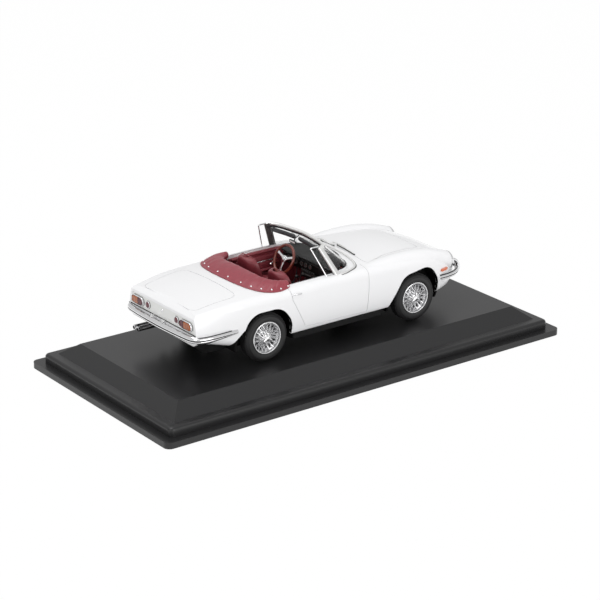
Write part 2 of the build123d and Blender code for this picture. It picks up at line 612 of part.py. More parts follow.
DASH = [(1.2, 16.8), (1.6, 15.8), (4.6, 15.4), (4.6, 20.1), (1.6, 20.3), (0.6, 19.4)]
DASH_HALF, DASH_EDGE = 13.0, 0.3
CONSOLE_X, CONSOLE_L, CONSOLE_TOP = 2.9, 3.2, 16.5
with BuildPart() as dashboard:
    with BuildSketch(Plane.XZ.offset(-DASH_HALF)):
        Polygon(*DASH, align=None)
        fillet(vertices(), DASH_EDGE)
    extrude(amount=2 * DASH_HALF)
    # console down to the tunnel
    with BuildSketch(Plane.XY.offset(TUNNEL_Z)):
        with Locations((CONSOLE_X, 0)):
            Rectangle(CONSOLE_L, 2 * TUNNEL_HALF)
    extrude(amount=CONSOLE_TOP - TUNNEL_Z)
    add(interior_tub.part, mode=Mode.SUBTRACT)
save(dashboard.part, "dashboard")

WHEEL_C = (-3.0, 7.5, 19.3)
WHEEL_TILT, WHEEL_R, GRIP_R = 25, 4.4, 0.42
SPOKE_W, SPOKE_T, BOSS_DISC_R = 0.7, 0.4, 1.0
COLUMN_R, COLUMN_L = 0.55, 5.5
lean = radians(WHEEL_TILT)
steer = Plane(origin=WHEEL_C, x_dir=(0, 1, 0), z_dir=(-cos(lean), 0, sin(lean)))
with BuildPart() as steering_rim:
    with BuildSketch(Plane(origin=WHEEL_C, x_dir=steer.x_dir, z_dir=steer.y_dir)):
        with Locations((WHEEL_R, 0)):
            Circle(GRIP_R)
    revolve(axis=Axis(WHEEL_C, tuple(steer.z_dir)))
with BuildPart() as spokes:
    with BuildSketch(steer.offset(-SPOKE_T / 2)):
        Circle(BOSS_DISC_R)
        with PolarLocations(0, 3, start_angle=90 if steer.y_dir.Z < 0 else -90):
            with Locations((WHEEL_R / 2, 0)):
                Rectangle(WHEEL_R, SPOKE_W)
    extrude(amount=SPOKE_T)
    add(steering_rim.part, mode=Mode.SUBTRACT)
with BuildPart() as column:
    with BuildSketch(steer.offset(-SPOKE_T / 2)):
        Circle(COLUMN_R)
    extrude(amount=-COLUMN_L)
    add(dashboard.part, mode=Mode.SUBTRACT)
save(steering_rim.part, "steering_wheel_rim")
save(spokes.part, "steering_wheel_spokes")
save(column.part, "steering_column")

LEVER_X, GAITER_R, GAITER_H, LEVER_R, LEVER_L, KNOB_R = -3.4, 0.9, 0.5, 0.3, 4.0, 0.65
with BuildPart() as gear_lever:
    for radius, height in ((GAITER_R, GAITER_H), (LEVER_R, LEVER_L)):
        with BuildSketch(Plane.XY.offset(TUNNEL_Z)):
            with Locations((LEVER_X, 0)):
                Circle(radius)
        extrude(amount=height)
    with Locations((LEVER_X, 0, TUNNEL_Z + LEVER_L)):
        Sphere(KNOB_R)
save(gear_lever.part, "gear_lever")

# gauges: place across the car and radius
GAUGES = [(5.7, 1.0), (9.3, 1.0), (-1.6, 0.7), (0.6, 0.7), (2.8, 0.7)]
GAUGE_X, GAUGE_Z, GAUGE_L = 0.2, 18.6, 1.4
gauge_parts = []
for y, radius in GAUGES:
    with BuildPart() as gauge:
        with BuildSketch(Plane.YZ.offset(GAUGE_X)):
            with Locations((y, GAUGE_Z)):
                Circle(radius)
        extrude(amount=GAUGE_L)
        add(dashboard.part, mode=Mode.SUBTRACT)
    gauge_parts.append(gauge.part.solids().sort_by(Axis.X)[0])
save_group(gauge_parts, "gauges")

# ---------------------------------------------------------------- folded-hood cover
COVER_T = 1.5
COVER_REAR, COVER_ARM, COVER_INNER = -32.0, -17.8, -23.2
COVER_BACK = [(COVER_REAR, 0), (-31.0, 9.5), (-29.0, 14.4)]
COVER_SIDE = [(-29.0, 14.4), (-25.0, 17.6), (COVER_ARM, 16.6)]
COVER_HORN = [(COVER_ARM, 14.9), (-20.9, 13.0), (COVER_INNER, 9.0)]
with BuildPart() as cover_plan:
    with BuildSketch(Plane.XY.offset(17)):
        with BuildLine():
            ThreePointArc(*COVER_BACK)
            ThreePointArc(*COVER_SIDE)
            Line(COVER_SIDE[-1], COVER_HORN[0])
            ThreePointArc(*COVER_HORN)
            Polyline(COVER_HORN[-1], (COVER_INNER, 0), (COVER_REAR, 0))
        make_face()
        mirror(about=Plane.XZ)
    extrude(amount=10)
with BuildPart() as tonneau:
    add(body_envelope(-COVER_T))
    add(cover_plan.part, mode=Mode.INTERSECT)
    add(outer, mode=Mode.SUBTRACT)
save(tonneau.part, "tonneau_cover")

# ---------------------------------------------------------------- windscreen
POST_W, POST_D, POST_TURN = 1.9, 0.8, 30  # the section leans with the curve of the glass
HEADER_Z = 28.9
FOOT_BAND_H = 0.9
BAND_IN, BAND_OUT, BAND_ROOM = 0.2, 0.6, 5.0
POST_FOOT, POST_HEAD, POST_LOW = (-0.9, 16.7), (-5.3, 13.3), 20.2
QUARTER_FOOT, QUARTER_HEAD, QUARTER_BAR, QUARTER_TOP = (-4.6, 16.7), (-8.5, 13.3), (0.5, 0.6), 0.5
PANE_T = 0.3


def bar(foot, head, size, turn=0.0, low=POST_LOW):
    """A straight bar of rectangular section, turned about Z, between two points given from above."""
    with BuildPart() as part:
        for spot, height in ((foot, low), (head, HEAD_Z)):
            with BuildSketch(Plane.XY.offset(height)):
                with Locations(spot):
                    Rectangle(*size, rotation=turn)
        loft()
    return part.part


def flip(spot, side):
    """The same place on one side of the car."""
    return (spot[0], side * spot[1])


with BuildPart() as foot_band:
    add(screen_band(BAND_IN, BAND_OUT, FOOT_Z, FOOT_Z + BAND_ROOM))
    add(body_envelope(-FOOT_BAND_H), mode=Mode.INTERSECT)
    add(outer, mode=Mode.SUBTRACT)
with BuildPart() as surround:
    add(screen_band(BAND_IN, BAND_OUT, HEADER_Z, HEAD_Z))
    for side in (1, -1):
        add(bar(flip(POST_FOOT, side), flip(POST_HEAD, side), (POST_W, POST_D), -side * POST_TURN))
    add(foot_band.part)
    add(outer, mode=Mode.SUBTRACT)
save(surround.part, "windscreen_frame")
with BuildPart() as glass:
    add(screen_band(0, GLASS_T, FOOT_Z, HEAD_Z))
    add(surround.part, mode=Mode.SUBTRACT)
    add(outer, mode=Mode.SUBTRACT)
save(glass.part.solids().sort_by(SortBy.VOLUME)[-1], "windscreen_glass")

rear_bars = []
quarter_panes = []
top_l = POST_HEAD[0] - QUARTER_HEAD[0] + QUARTER_BAR[0]
top_x = (POST_HEAD[0] + QUARTER_HEAD[0]) / 2
for side in (1, -1):
    with BuildPart() as quarter:
        add(bar(flip(QUARTER_FOOT, side), flip(QUARTER_HEAD, side), QUARTER_BAR))
        with BuildSketch(Plane.XY.offset(HEAD_Z - QUARTER_TOP)):
            with Locations((top_x, side * POST_HEAD[1])):
                Rectangle(top_l, QUARTER_BAR[1])
        extrude(amount=QUARTER_TOP)
        add(outer, mode=Mode.SUBTRACT)
        add(surround.part, mode=Mode.SUBTRACT)
    rear_bars.append(quarter.part)
    with BuildPart() as pane:
        for front, rear, height in ((POST_FOOT, QUARTER_FOOT, POST_LOW), (POST_HEAD, QUARTER_HEAD, HEAD_Z)):
            with BuildSketch(Plane.XY.offset(height)):
                with Locations(((front[0] + rear[0]) / 2, side * front[1])):
                    Rectangle(front[0] - rear[0], PANE_T)
        loft()
        add(quarter.part, mode=Mode.SUBTRACT)
        add(surround.part, mode=Mode.SUBTRACT)
        add(outer, mode=Mode.SUBTRACT)
    quarter_panes.append(pane.part.solids().sort_by(SortBy.VOLUME)[-1])
save_group(rear_bars, "quarter_window_frames")
save_group(quarter_panes, "quarter_window_glasses")

VISOR_X, VISOR_Y, VISOR_Z = -4.9, 5.6, 28.3
VISOR_L, VISOR_W, VISOR_T, VISOR_R = 2.2, 8.6, 1.0, 0.5
visors = []
for side in (1, -1):
    with BuildPart() as visor:
        with BuildSketch(Plane.XY.offset(VISOR_Z)):
            with Locations((VISOR_X, side * VISOR_Y)):
                RectangleRounded(VISOR_L, VISOR_W, VISOR_R)
        extrude(amount=VISOR_T)
        add(surround.part, mode=Mode.SUBTRACT)
    visors.append(visor.part)
save_group(visors, "sun_visors")

MIRROR_X, MIRROR_Z, MIRROR_L, MIRROR_H, MIRROR_T = -5.4, 27.4, 3.4, 1.0, 0.7
STALK_W, STALK_H, STALK_L = 0.6, 2.0, 4.6
with BuildPart() as view_mirror:
    with BuildSketch(Plane.YZ.offset(MIRROR_X)):
        with Locations((0, MIRROR_Z)):
            RectangleRounded(MIRROR_L, MIRROR_H, 0.4)
    extrude(amount=MIRROR_T)
    # stalk up to the windscreen's header
    with BuildSketch(Plane.YZ.offset(MIRROR_X + MIRROR_T / 2)):
        with Locations((0, MIRROR_Z + MIRROR_H / 2 + STALK_H / 2 - 0.4)):
            Rectangle(STALK_W, STALK_H)
    extrude(amount=STALK_L)
    add(surround.part, mode=Mode.SUBTRACT)
    add(glass.part, mode=Mode.SUBTRACT)
save(view_mirror.part.solids().sort_by(Axis.X)[0], "rear_view_mirror")

# ---------------------------------------------------------------- cover snaps, wipers and handles
SNAP_R, SNAP_H = 0.32, 0.3
SNAP_SPOTS = [(-18.6, 15.9), (-21.4, 16.6), (-24.4, 16.7), (-27.0, 15.6), (-28.9, 12.4), (-30.0, 9.2), (-30.6, 6.2),
              (-30.9, 3.1)]
MARKER_T, WIPER_T = 0.4, 0.6  # how far small lamps, handles and wipers stand off the body
snap_cap = body_envelope(-COVER_T - SNAP_H)
marker_cap = body_envelope(-MARKER_T)
wiper_cap = body_envelope(-WIPER_T)
snap_parts = []
for x, y in [*SNAP_SPOTS, *[(x, -y) for x, y in SNAP_SPOTS], (-31.0, 0.0)]:
    with BuildPart() as snap:
        with BuildSketch(Plane.XY.offset(18)):
            with Locations((x, y)):
                Circle(SNAP_R)
        extrude(amount=8)
        add(snap_cap, mode=Mode.INTERSECT)
        add(tonneau.part, mode=Mode.SUBTRACT)
        add(outer, mode=Mode.SUBTRACT)
    snap_parts.append(snap.part.solids().sort_by(Axis.Z)[-1])
save_group(snap_parts, "tonneau_snaps")

HANDLE_X, HANDLE_Z, HANDLE_L, HANDLE_H = -17.3, 19.1, 2.6, 0.45
handles = []
for side in (1, -1):
    with BuildPart() as handle:
        with BuildSketch(Plane.XZ.offset(-side * 16)):
            with Locations((HANDLE_X, HANDLE_Z)):
                RectangleRounded(HANDLE_L, HANDLE_H, 0.2)
        extrude(amount=-side * 5)
        add(marker_cap, mode=Mode.INTERSECT)
        add(outer, mode=Mode.SUBTRACT)
    handles.append(handle.part)
save_group(handles, "door_handles")

# x, y of the spindle and of the blade's tip
WIPERS = [((11.6, 11.4), (12.6, 2.6)), ((12.8, -0.6), (11.4, -10.4))]
WIPER_W, SPINDLE_R = 0.45, 0.55
wipers = []
for start, end in WIPERS:
    with BuildPart() as wiper:
        with BuildSketch(Plane.XY.offset(19)):
            reach = hypot(end[0] - start[0], end[1] - start[1])
            turn = degrees(atan2(end[1] - start[1], end[0] - start[0]))
            with Locations(((start[0] + end[0]) / 2, (start[1] + end[1]) / 2)):
                SlotCenterToCenter(reach, WIPER_W, rotation=turn)
            with Locations(start):
                Circle(SPINDLE_R)
        extrude(amount=8)
        add(wiper_cap, mode=Mode.INTERSECT)
        add(outer, mode=Mode.SUBTRACT)
    wipers.append(wiper.part)
save_group(wipers, "wipers")

# ---------------------------------------------------------------- tail
PANEL_T = TAIL_DEEP - SEAT_GAP
with BuildPart() as tail_panel:
    with BuildSketch(Plane.YZ.offset(TAIL_X + TAIL_DEEP)):
        with BuildSketch(mode=Mode.PRIVATE) as panel_outline:
            Polygon(*TAIL_PANEL, align=None)
        offset(panel_outline.sketch, amount=-SEAT_GAP)
    extrude(amount=-PANEL_T)
panel_face = TAIL_X + TAIL_DEEP - PANEL_T
PILL_LOW, PILL_HIGH, PILL_IN, PILL_MID, PILL_OUT, PILL_R = 14.3, 16.6, 9.9, 12.0, 15.7, 1.05
PILL_PROUD, BEZEL_T, BEZEL_PROUD = 0.7, 0.2, 0.4
REFLECTOR_Y, REFLECTOR_R, REFLECTOR_T = 7.6, 1.05, 0.5
pill_l, pill_h, pill_z = PILL_OUT - PILL_IN, PILL_HIGH - PILL_LOW, (PILL_LOW + PILL_HIGH) / 2
tail_lenses = {"red": [], "amber": []}
tail_rings, reflectors = [], []
for side in (1, -1):
    pill_y = side * (PILL_IN + PILL_OUT) / 2
    with BuildPart() as ring:
        with BuildSketch(Plane.YZ.offset(panel_face)):
            with Locations((pill_y, pill_z)):
                RectangleRounded(pill_l + 2 * BEZEL_T, pill_h + 2 * BEZEL_T, PILL_R + BEZEL_T / 2)
                RectangleRounded(pill_l, pill_h, PILL_R, mode=Mode.SUBTRACT)
        extrude(amount=-BEZEL_PROUD)
    tail_rings.append(ring.part)
    for colour, low, high in (("red", PILL_IN, PILL_MID), ("amber", PILL_MID, PILL_OUT)):
        with BuildPart() as lens:
            with BuildSketch(Plane.YZ.offset(panel_face)):
                with Locations((pill_y, pill_z)):
                    RectangleRounded(pill_l, pill_h, PILL_R)
                with Locations((side * (low + high) / 2, pill_z)):
                    Rectangle(high - low, 2 * pill_h, mode=Mode.INTERSECT)
            extrude(amount=-PILL_PROUD)
        tail_lenses[colour].append(lens.part)
    with BuildPart() as reflector:
        with BuildSketch(Plane.YZ.offset(panel_face)):
            with Locations((side * REFLECTOR_Y, pill_z)):
                Circle(REFLECTOR_R)
        extrude(amount=-REFLECTOR_T)
    reflectors.append(reflector.part)
save(tail_panel.part, "tail_panel")
save_group(tail_lenses["red"], "tail_lamps_red")
save_group(tail_lenses["amber"], "tail_lamps_amber")
save_group(tail_rings, "tail_lamp_bezels")
save_group(reflectors, "rear_reflectors")

# ---------------------------------------------------------------- bumpers
BUMPER_LOW, BUMPER_EDGE, BUMPER_HIGH = 10.8, 12.2, 13.2  # underside, outer edge of the sloping top, its inner edge
BUMPER_SLOPE = 0.8
BUMPER_END, BUMPER_HALF = -38.7, 19.75
REAR_BUMPER_X, BUMPER_FLAT, BUMPER_TURN = -54.7, -54.1, 13.5
BUMPER_CORNER = [(-48.6, 19.6), (-52.7, 18.3), (BUMPER_FLAT, BUMPER_TURN)]
GROOVE_Z, GROOVE_H, GROOVE_DEEP = 11.7, 0.25, 0.3
TAPER_RISE = 1.1  # how much higher the underside is at the bar's two ends


def bumper_outline():
    """The rear bumper's outer edge from above, filled in between its two ends."""
    with BuildLine() as edge:
        Line((BUMPER_END, -BUMPER_HALF), (BUMPER_END, BUMPER_HALF))
        Line((BUMPER_END, BUMPER_HALF), BUMPER_CORNER[0])
        ThreePointArc(*BUMPER_CORNER)
        ThreePointArc((BUMPER_FLAT, BUMPER_TURN), (REAR_BUMPER_X, 0), (BUMPER_FLAT, -BUMPER_TURN))
        ThreePointArc(*[(x, -y) for x, y in reversed(BUMPER_CORNER)])
        Line((BUMPER_CORNER[0][0], -BUMPER_CORNER[0][1]), (BUMPER_END, -BUMPER_HALF))
    with BuildSketch() as plan:
        add(edge.line)
        make_face()
    return plan.sketch


with BuildPart() as rear_bumper:
    with BuildSketch(Plane.XY.offset(BUMPER_LOW)):
        add(bumper_outline())
    extrude(amount=BUMPER_EDGE - BUMPER_LOW)
    with BuildSketch(Plane.XY.offset(BUMPER_EDGE)):
        add(bumper_outline())
    with BuildSketch(Plane.XY.offset(BUMPER_HIGH)):
        offset(bumper_outline(), amount=-BUMPER_SLOPE, kind=Kind.INTERSECTION)
    loft()
    with BuildSketch(Plane.XY.offset(GROOVE_Z)):
        add(bumper_outline())
        offset(bumper_outline(), amount=-GROOVE_DEEP, mode=Mode.SUBTRACT)
    extrude(amount=GROOVE_H, mode=Mode.SUBTRACT)
    # the underside rises towards the two ends
    with BuildSketch(Plane.XZ.offset(-CAR_HALF)):
        Polygon((BUMPER_CORNER[0][0], BUMPER_LOW), (BUMPER_END + 1, BUMPER_LOW + TAPER_RISE),
                (BUMPER_END + 1, BUMPER_LOW - 1), (BUMPER_CORNER[0][0], BUMPER_LOW - 1), align=None)
    extrude(amount=2 * CAR_HALF, mode=Mode.SUBTRACT)
    add(body_envelope(-SEAT_GAP, CORE_DROP), mode=Mode.SUBTRACT)
save(rear_bumper.part.solids().sort_by(SortBy.VOLUME)[-1], "rear_bumper")

PLATE_LAMP_X, PLATE_LAMP_YS = -53.2, (3.9, -1.5)
plate_lamps = []
for y in PLATE_LAMP_YS:
    with BuildPart() as plate_lamp:
        with BuildSketch(Plane.XY.offset(BUMPER_HIGH)):
            with Locations((PLATE_LAMP_X, y)):
                RectangleRounded(0.8, 1.5, 0.3)
        extrude(amount=0.5)
    plate_lamps.append(plate_lamp.part)
save_group(plate_lamps, "plate_lamps")

# outer edge of a front bumper from above, from its end beside the wheel to its inner end
QUARTER_EDGE = [(37.3, 18.95), (43.0, 18.4), (46.6, 16.4), (49.3, 12.8), (50.6, 9.2)]
QUARTER_T, QUARTER_LOW, QUARTER_H = 1.1, 11.3, 1.5
HORN_Y, HORN_W = 13.4, 1.2
# side view of an overrider, from its foot round its front to its tip and down its back
HORN = [(48.2, 10.4), (49.5, 11.0), (49.4, 12.6), (48.2, 14.4), (46.4, 15.3), (44.6, 14.0), (44.6, 10.8)]
for side, hand in ((1, "left"), (-1, "right")):
    with BuildPart() as front_bumper:
        with BuildSketch(Plane.XY.offset(QUARTER_LOW)):
            with BuildLine():
                outer_edge = [(x, side * y) for x, y in QUARTER_EDGE]
                inner_edge = [(x - QUARTER_T, side * (y - QUARTER_T)) for x, y in QUARTER_EDGE]
                Spline(*outer_edge)
                Line(outer_edge[-1], inner_edge[-1])
                Spline(*reversed(inner_edge))
                Line(inner_edge[0], outer_edge[0])
            make_face()
        extrude(amount=QUARTER_H)
        # overrider, which reaches back to the nose and carries the bar
        with BuildSketch(Plane.XZ.offset(-side * HORN_Y - HORN_W / 2)):
            Polygon(*HORN, align=None)
            fillet(vertices().sort_by(Axis.X)[-4:], 0.5)
        extrude(amount=HORN_W)
        add(body_envelope(-SEAT_GAP, CORE_DROP), mode=Mode.SUBTRACT)
    save(front_bumper.part.solids().sort_by(SortBy.VOLUME)[-1], f"front_bumper_{hand}")

# ---------------------------------------------------------------- nose
GRILLE_X, GRILLE_T, SURROUND_T, SLAT_W, SLAT_STEP, SLATS = 47.8, 1.2, 0.5, 0.3, 1.0, 15
mouth_w, mouth_h, mouth_z = 2 * MOUTH_HALF, MOUTH_HIGH - MOUTH_LOW, (MOUTH_LOW + MOUTH_HIGH) / 2
with BuildPart() as grille:
    with BuildSketch(Plane.YZ.offset(GRILLE_X)):
        with Locations((0, mouth_z)):
            for inset, mode in ((SEAT_GAP, Mode.ADD), (SEAT_GAP + SURROUND_T, Mode.SUBTRACT)):
                RectangleRounded(mouth_w - 2 * inset, mouth_h - 2 * inset, MOUTH_R - inset, mode=mode)
            with GridLocations(SLAT_STEP, 0, SLATS, 1):
                Rectangle(SLAT_W, mouth_h - SURROUND_T)
    extrude(amount=GRILLE_T)
save(grille.part, "grille")

LENS_R, BEZEL_OUT, LENS_OUT = LAMP_R - 0.45, 0.9, 0.7
MARKER_X, MARKER_Z, MARKER_L, MARKER_H = 39.4, 14.3, 3.2, 0.8
SIGNAL_Y, SIGNAL_Z, SIGNAL_L, SIGNAL_H = 10.8, 13.9, 2.2, 0.9
bezels, lenses, markers, signals = [], [], [], []
for side in (1, -1):
    with BuildPart() as bezel:
        with BuildSketch(lamp_plane(side)):
            Circle(LAMP_R)
            Circle(LENS_R, mode=Mode.SUBTRACT)
        extrude(amount=BEZEL_OUT)
    bezels.append(bezel.part)
    with BuildPart() as lens:
        with BuildSketch(lamp_plane(side)):
            Circle(LENS_R)
        extrude(amount=LENS_OUT)
    lenses.append(lens.part)
    with BuildPart() as marker:
        with BuildSketch(Plane.XZ.offset(-side * 15)):
            with Locations((MARKER_X, MARKER_Z)):
                RectangleRounded(MARKER_L, MARKER_H, 0.35)
        extrude(amount=-side * 6)
        add(marker_cap, mode=Mode.INTERSECT)
        add(outer, mode=Mode.SUBTRACT)
    markers.append(marker.part)
    with BuildPart() as signal:
        with BuildSketch(Plane.YZ.offset(44)):
            with Locations((side * SIGNAL_Y, SIGNAL_Z)):
                RectangleRounded(SIGNAL_L, SIGNAL_H, 0.4)
        extrude(amount=8)
        add(marker_cap, mode=Mode.INTERSECT)
        add(outer, mode=Mode.SUBTRACT)
    signals.append(signal.part)
save_group(bezels, "headlamp_bezels")
save_group(lenses, "headlamp_lenses")
save_group(markers, "side_marker_lamps")
save_group(signals, "front_turn_lamps")
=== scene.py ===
"""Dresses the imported 1:43 roadster and its plinth: finishes, fine forms, floor, light and camera."""

import json
from math import cos, pi, radians, sin, sqrt

import bmesh
import bpy
from mathutils import Matrix, Vector, noise
from mathutils.bvhtree import BVHTree


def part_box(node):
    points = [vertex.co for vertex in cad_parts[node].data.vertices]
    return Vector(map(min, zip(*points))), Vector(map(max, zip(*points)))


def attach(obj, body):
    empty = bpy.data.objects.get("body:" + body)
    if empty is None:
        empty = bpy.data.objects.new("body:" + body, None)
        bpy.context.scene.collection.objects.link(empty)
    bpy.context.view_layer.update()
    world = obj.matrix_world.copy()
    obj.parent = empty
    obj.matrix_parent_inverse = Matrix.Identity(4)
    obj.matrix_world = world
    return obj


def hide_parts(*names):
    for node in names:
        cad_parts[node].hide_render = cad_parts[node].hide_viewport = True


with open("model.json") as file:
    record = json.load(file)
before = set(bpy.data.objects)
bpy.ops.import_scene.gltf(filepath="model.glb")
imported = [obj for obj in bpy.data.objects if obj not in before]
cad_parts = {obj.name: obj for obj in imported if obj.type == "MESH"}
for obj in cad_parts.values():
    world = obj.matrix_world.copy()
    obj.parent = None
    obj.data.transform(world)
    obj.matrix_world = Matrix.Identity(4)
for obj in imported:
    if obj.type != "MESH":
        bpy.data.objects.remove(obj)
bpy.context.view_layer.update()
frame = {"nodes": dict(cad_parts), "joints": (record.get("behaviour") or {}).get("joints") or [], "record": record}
nodes = frame["nodes"]

# ---- places taken from the frame
scene = bpy.context.scene
MM = 0.001
DECK_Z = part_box("display_plinth")[1].z / MM
REAR_AXLE, FRONT_AXLE = sorted(joint["pos_m"][0] / MM for joint in frame["joints"])
CAR_X = (REAR_AXLE + FRONT_AXLE) / 2
AXLE_Z = frame["joints"][0]["pos_m"][2] / MM - DECK_Z
SIDES = ((1, "left"), (-1, "right"))
AXLES = (("front", FRONT_AXLE - CAR_X), ("rear", REAR_AXLE - CAR_X))
AHEAD, LEFT, UP = (1, 0, 0), (0, 1, 0), Vector((0, 0, 1))


def car(point):
    """A point of the car's own frame, in mm from the wheelbase's middle on the plinth's deck, in metres."""
    x, y, z = point
    return Vector((x + CAR_X, y, z + DECK_Z)) * MM


# ---- materials
def fill(node, **values):
    """Sets a node's own sockets by name."""
    for socket, value in values.items():
        node.inputs[socket.replace("_", " ")].default_value = value


def material(name, color, roughness, metallic=0, **sockets):
    """A principled material with its plain values set on the shader."""
    mat = bpy.data.materials.new(name)
    mat.use_nodes = True
    fill(mat.node_tree.nodes["Principled BSDF"], Base_Color=(*color, 1), Roughness=roughness, Metallic=metallic,
         **sockets)
    return mat


def finish(name, color, roughness, scale, metallic=0, slot="", bump=0, depth=0.00002, tint=0, rough=0, **sockets):
    """A material with fine noise in bump (depth in metres), colour and roughness, in its name's slot or another."""
    mat = material(name, color, roughness, metallic, **sockets)
    SLOT_OF[mat.name] = slot or name
    FINISH.setdefault(SLOT_OF[mat.name], mat)
    new, link = mat.node_tree.nodes.new, mat.node_tree.links.new
    grain = new("ShaderNodeTexNoise")
    fill(grain, Scale=scale, Detail=NOISE_DETAIL)
    link(new("ShaderNodeTexCoord").outputs["Object"], grain.inputs["Vector"])

    def drive(socket, kind, entry, out, **values):
        """Leads the noise through a node into one of the shader's sockets."""
        node = new(kind)
        fill(node, **values)
        link(grain.outputs["Fac"], node.inputs[entry])
        link(node.outputs[out], mat.node_tree.nodes["Principled BSDF"].inputs[socket])
        return node

    if bump:
        drive("Normal", "ShaderNodeBump", "Height", "Normal", Strength=bump, Distance=depth)
    if tint:
        ramp = drive("Base Color", "ShaderNodeValToRGB", "Fac", "Color").color_ramp
        for end, position, share in zip(ramp.elements, TINT_SPAN, (1 - tint, 1 + tint)):
            end.position = position
            end.color = (*(min(c * share, 1) for c in color), 1)
    if rough:
        drive("Roughness", "ShaderNodeMapRange", "Value", "Result",
              To_Min=roughness - rough, To_Max=roughness + rough)
    return mat


SLOT_OF, FINISH = {}, {}  # the record's slot of each finish, and the first finish of each slot
NOISE_DETAIL = 4
TINT_SPAN = (0.35, 0.65)  # where in the noise the colour starts and stops changing
MOULDED_LENS = {"bump": 0.3, "rough": 0.05, "Transmission_Weight": 0.1, "Coat_Weight": 0.7}
# name, colour, roughness, noise scale and, for metals, how metallic
finish("white_enamel", (0.86, 0.86, 0.87), 0.3, 260, slot="body_paint", rough=0.04, Coat_Weight=0.6,
       Coat_Roughness=0.05)
finish("plinth_plastic", (0.0122, 0.0121, 0.0128), 0.31, 5000, bump=0.3, depth=0.00001, rough=0.04)
chassis_plastic = finish("chassis_plastic", (0.003, 0.003, 0.003), 0.6, 4000, bump=0.3, Specular_IOR_Level=0.25)
finish("screw_steel", (0.6, 0.6, 0.61), 0.3, 3000, 1.0, bump=0.2, rough=0.08)
chrome = finish("plated_chrome", (0.88, 0.88, 0.89), 0.1, 1500, 1.0, slot="chrome_trim", bump=0.05, rough=0.03)
wheel_chrome = finish("wheel_chrome", (0.8, 0.8, 0.81), 0.24, 3000, 1.0, slot="chrome_trim", bump=0.1, rough=0.06)
satin_steel = finish("satin_steel", (0.88, 0.88, 0.87), 0.42, 2500, 0.75, slot="chrome_trim", bump=0.05, rough=0.05)
rubber = finish("tyre_rubber", (0.014, 0.014, 0.0145), 0.58, 3500, bump=0.35, tint=0.15)
burgundy = finish("burgundy_trim", (0.2, 0.028, 0.038), 0.42, 2600, slot="cabin_trim", bump=0.5, tint=0.1, rough=0.06)
vinyl = finish("cover_vinyl", (0.28, 0.043, 0.06), 0.4, 2200, slot="cabin_trim", bump=0.5, tint=0.1, rough=0.08)
flock = finish("carpet_flock", (0.07, 0.012, 0.016), 0.9, 5200, slot="cabin_trim", bump=1, depth=0.00008, tint=0.3)
dash_black = finish("dash_black", (0.0055, 0.0055, 0.0055), 0.5, 3000, bump=0.4)
trim_grey = finish("lining_grey", (0.03, 0.03, 0.033), 0.55, 3000, slot="dash_black", bump=0.4)
post_grey = finish("post_lining_grey", (0.09, 0.09, 0.087), 0.5, 3000, slot="dash_black", bump=0.4, tint=0.2)
# black for the wiper blades and seals, and for the dark strips and plates that paint shade, shadow and dark
# reflection on the bumpers and round the tail lamps
seal_and_shade_black = finish("seal_and_shade_black", (0.006, 0.006, 0.006), 0.5, 3000, slot="dash_black", bump=0.3)
gauge_face = finish("gauge_face", (0.03, 0.03, 0.03), 0.2, 3000, rough=0.03, Coat_Weight=1)
rim_brown = finish("rim_brown", (0.2, 0.035, 0.02), 0.3, 2500, slot="wheel_rim_brown", tint=0.2, Coat_Weight=0.6)
finish("screen_clear", (1, 1, 1), 0.03, 400, slot="screen_glass", rough=0.015, Transmission_Weight=1, IOR=1.1)
lamp_clear = finish("lamp_clear", (0.95, 0.95, 0.95), 0.08, 1500, slot="lamp_glass", rough=0.03,
                    Transmission_Weight=0.8, IOR=1.45)
lens_red = finish("lens_red", (0.11, 0.007, 0.018), 0.14, 2500, **MOULDED_LENS)
lens_amber = finish("lens_amber", (0.38, 0.085, 0.005), 0.14, 2500, **MOULDED_LENS)
lens_orange = finish("lens_orange", (0.72, 0.12, 0.01), 0.14, 2500, slot="lens_amber", **MOULDED_LENS)
finish("tail_silver", (0.76, 0.765, 0.75), 0.36, 2500, 0.12, bump=0.1, rough=0.06)

for row in frame["record"]["subparts"]:
    mesh = nodes[row["node"]].data
    mesh.materials.clear()
    mesh.materials.append(FINISH[row["material_slot"]])
nodes["side_marker_lamps"].data.materials[0] = lens_orange  # brighter than the tail lamps' amber

# ---- measuring the frame's surfaces
shell_mesh = nodes["body_shell"].data
SHELL = BVHTree.FromPolygons([v.co for v in shell_mesh.vertices], [tuple(p.vertices) for p in shell_mesh.polygons])
# the deck's crown where the cockpit is cut out: x, height in the middle, radius across
DECK_ROWS = [(-34, 21.9, 120), (-22, 22.3, 100), (-4, 22.4, 105), (12, 22.2, 105)]
ABOVE_CAR, COCKPIT_DEEP = 40, 4  # a hit this far under the crown is inside the cockpit


def deck_crown(x, y):
    """Height of the uncut deck."""
    for (x0, z0, r0), (x1, z1, r1) in zip(DECK_ROWS, DECK_ROWS[1:]):
        if x <= x1 or x1 == DECK_ROWS[-1][0]:
            share = (x - x0) / (x1 - x0)
            return z0 + (z1 - z0) * share - y * y / (2 * (r0 + (r1 - r0) * share))


def body_top(x, y):
    """Height of the body's outer surface, over the cockpit as if it weren't cut."""
    spot, crown = SHELL.ray_cast(car((x, y, ABOVE_CAR)), -UP)[0], deck_crown(x, y)
    z = crown if spot is None else spot.z / MM - DECK_Z
    return z if z > crown - COCKPIT_DEEP else crown


# ---- shapes in code
def smooth_path(points, steps):
    """A smooth curve through points, steps spans for each gap."""
    ends = [points[0], *points, points[-1]]
    path = []
    for i in range(len(points) - 1):
        p0, p1, p2, p3 = (Vector(p) for p in ends[i:i + 4])
        for k in range(steps):
            t = k / steps
            path.append(tuple(0.5 * (2 * p1 + (p2 - p0) * t + (2 * p0 - 5 * p1 + 4 * p2 - p3) * t * t
                                     + (3 * p1 - p0 - 3 * p2 + p3) * t ** 3)))
    return path + [tuple(points[-1])]


def mirrored(points, side):
    """Points given for the left side, on one side."""
    return [(x, side * y, z) for x, y, z in points]


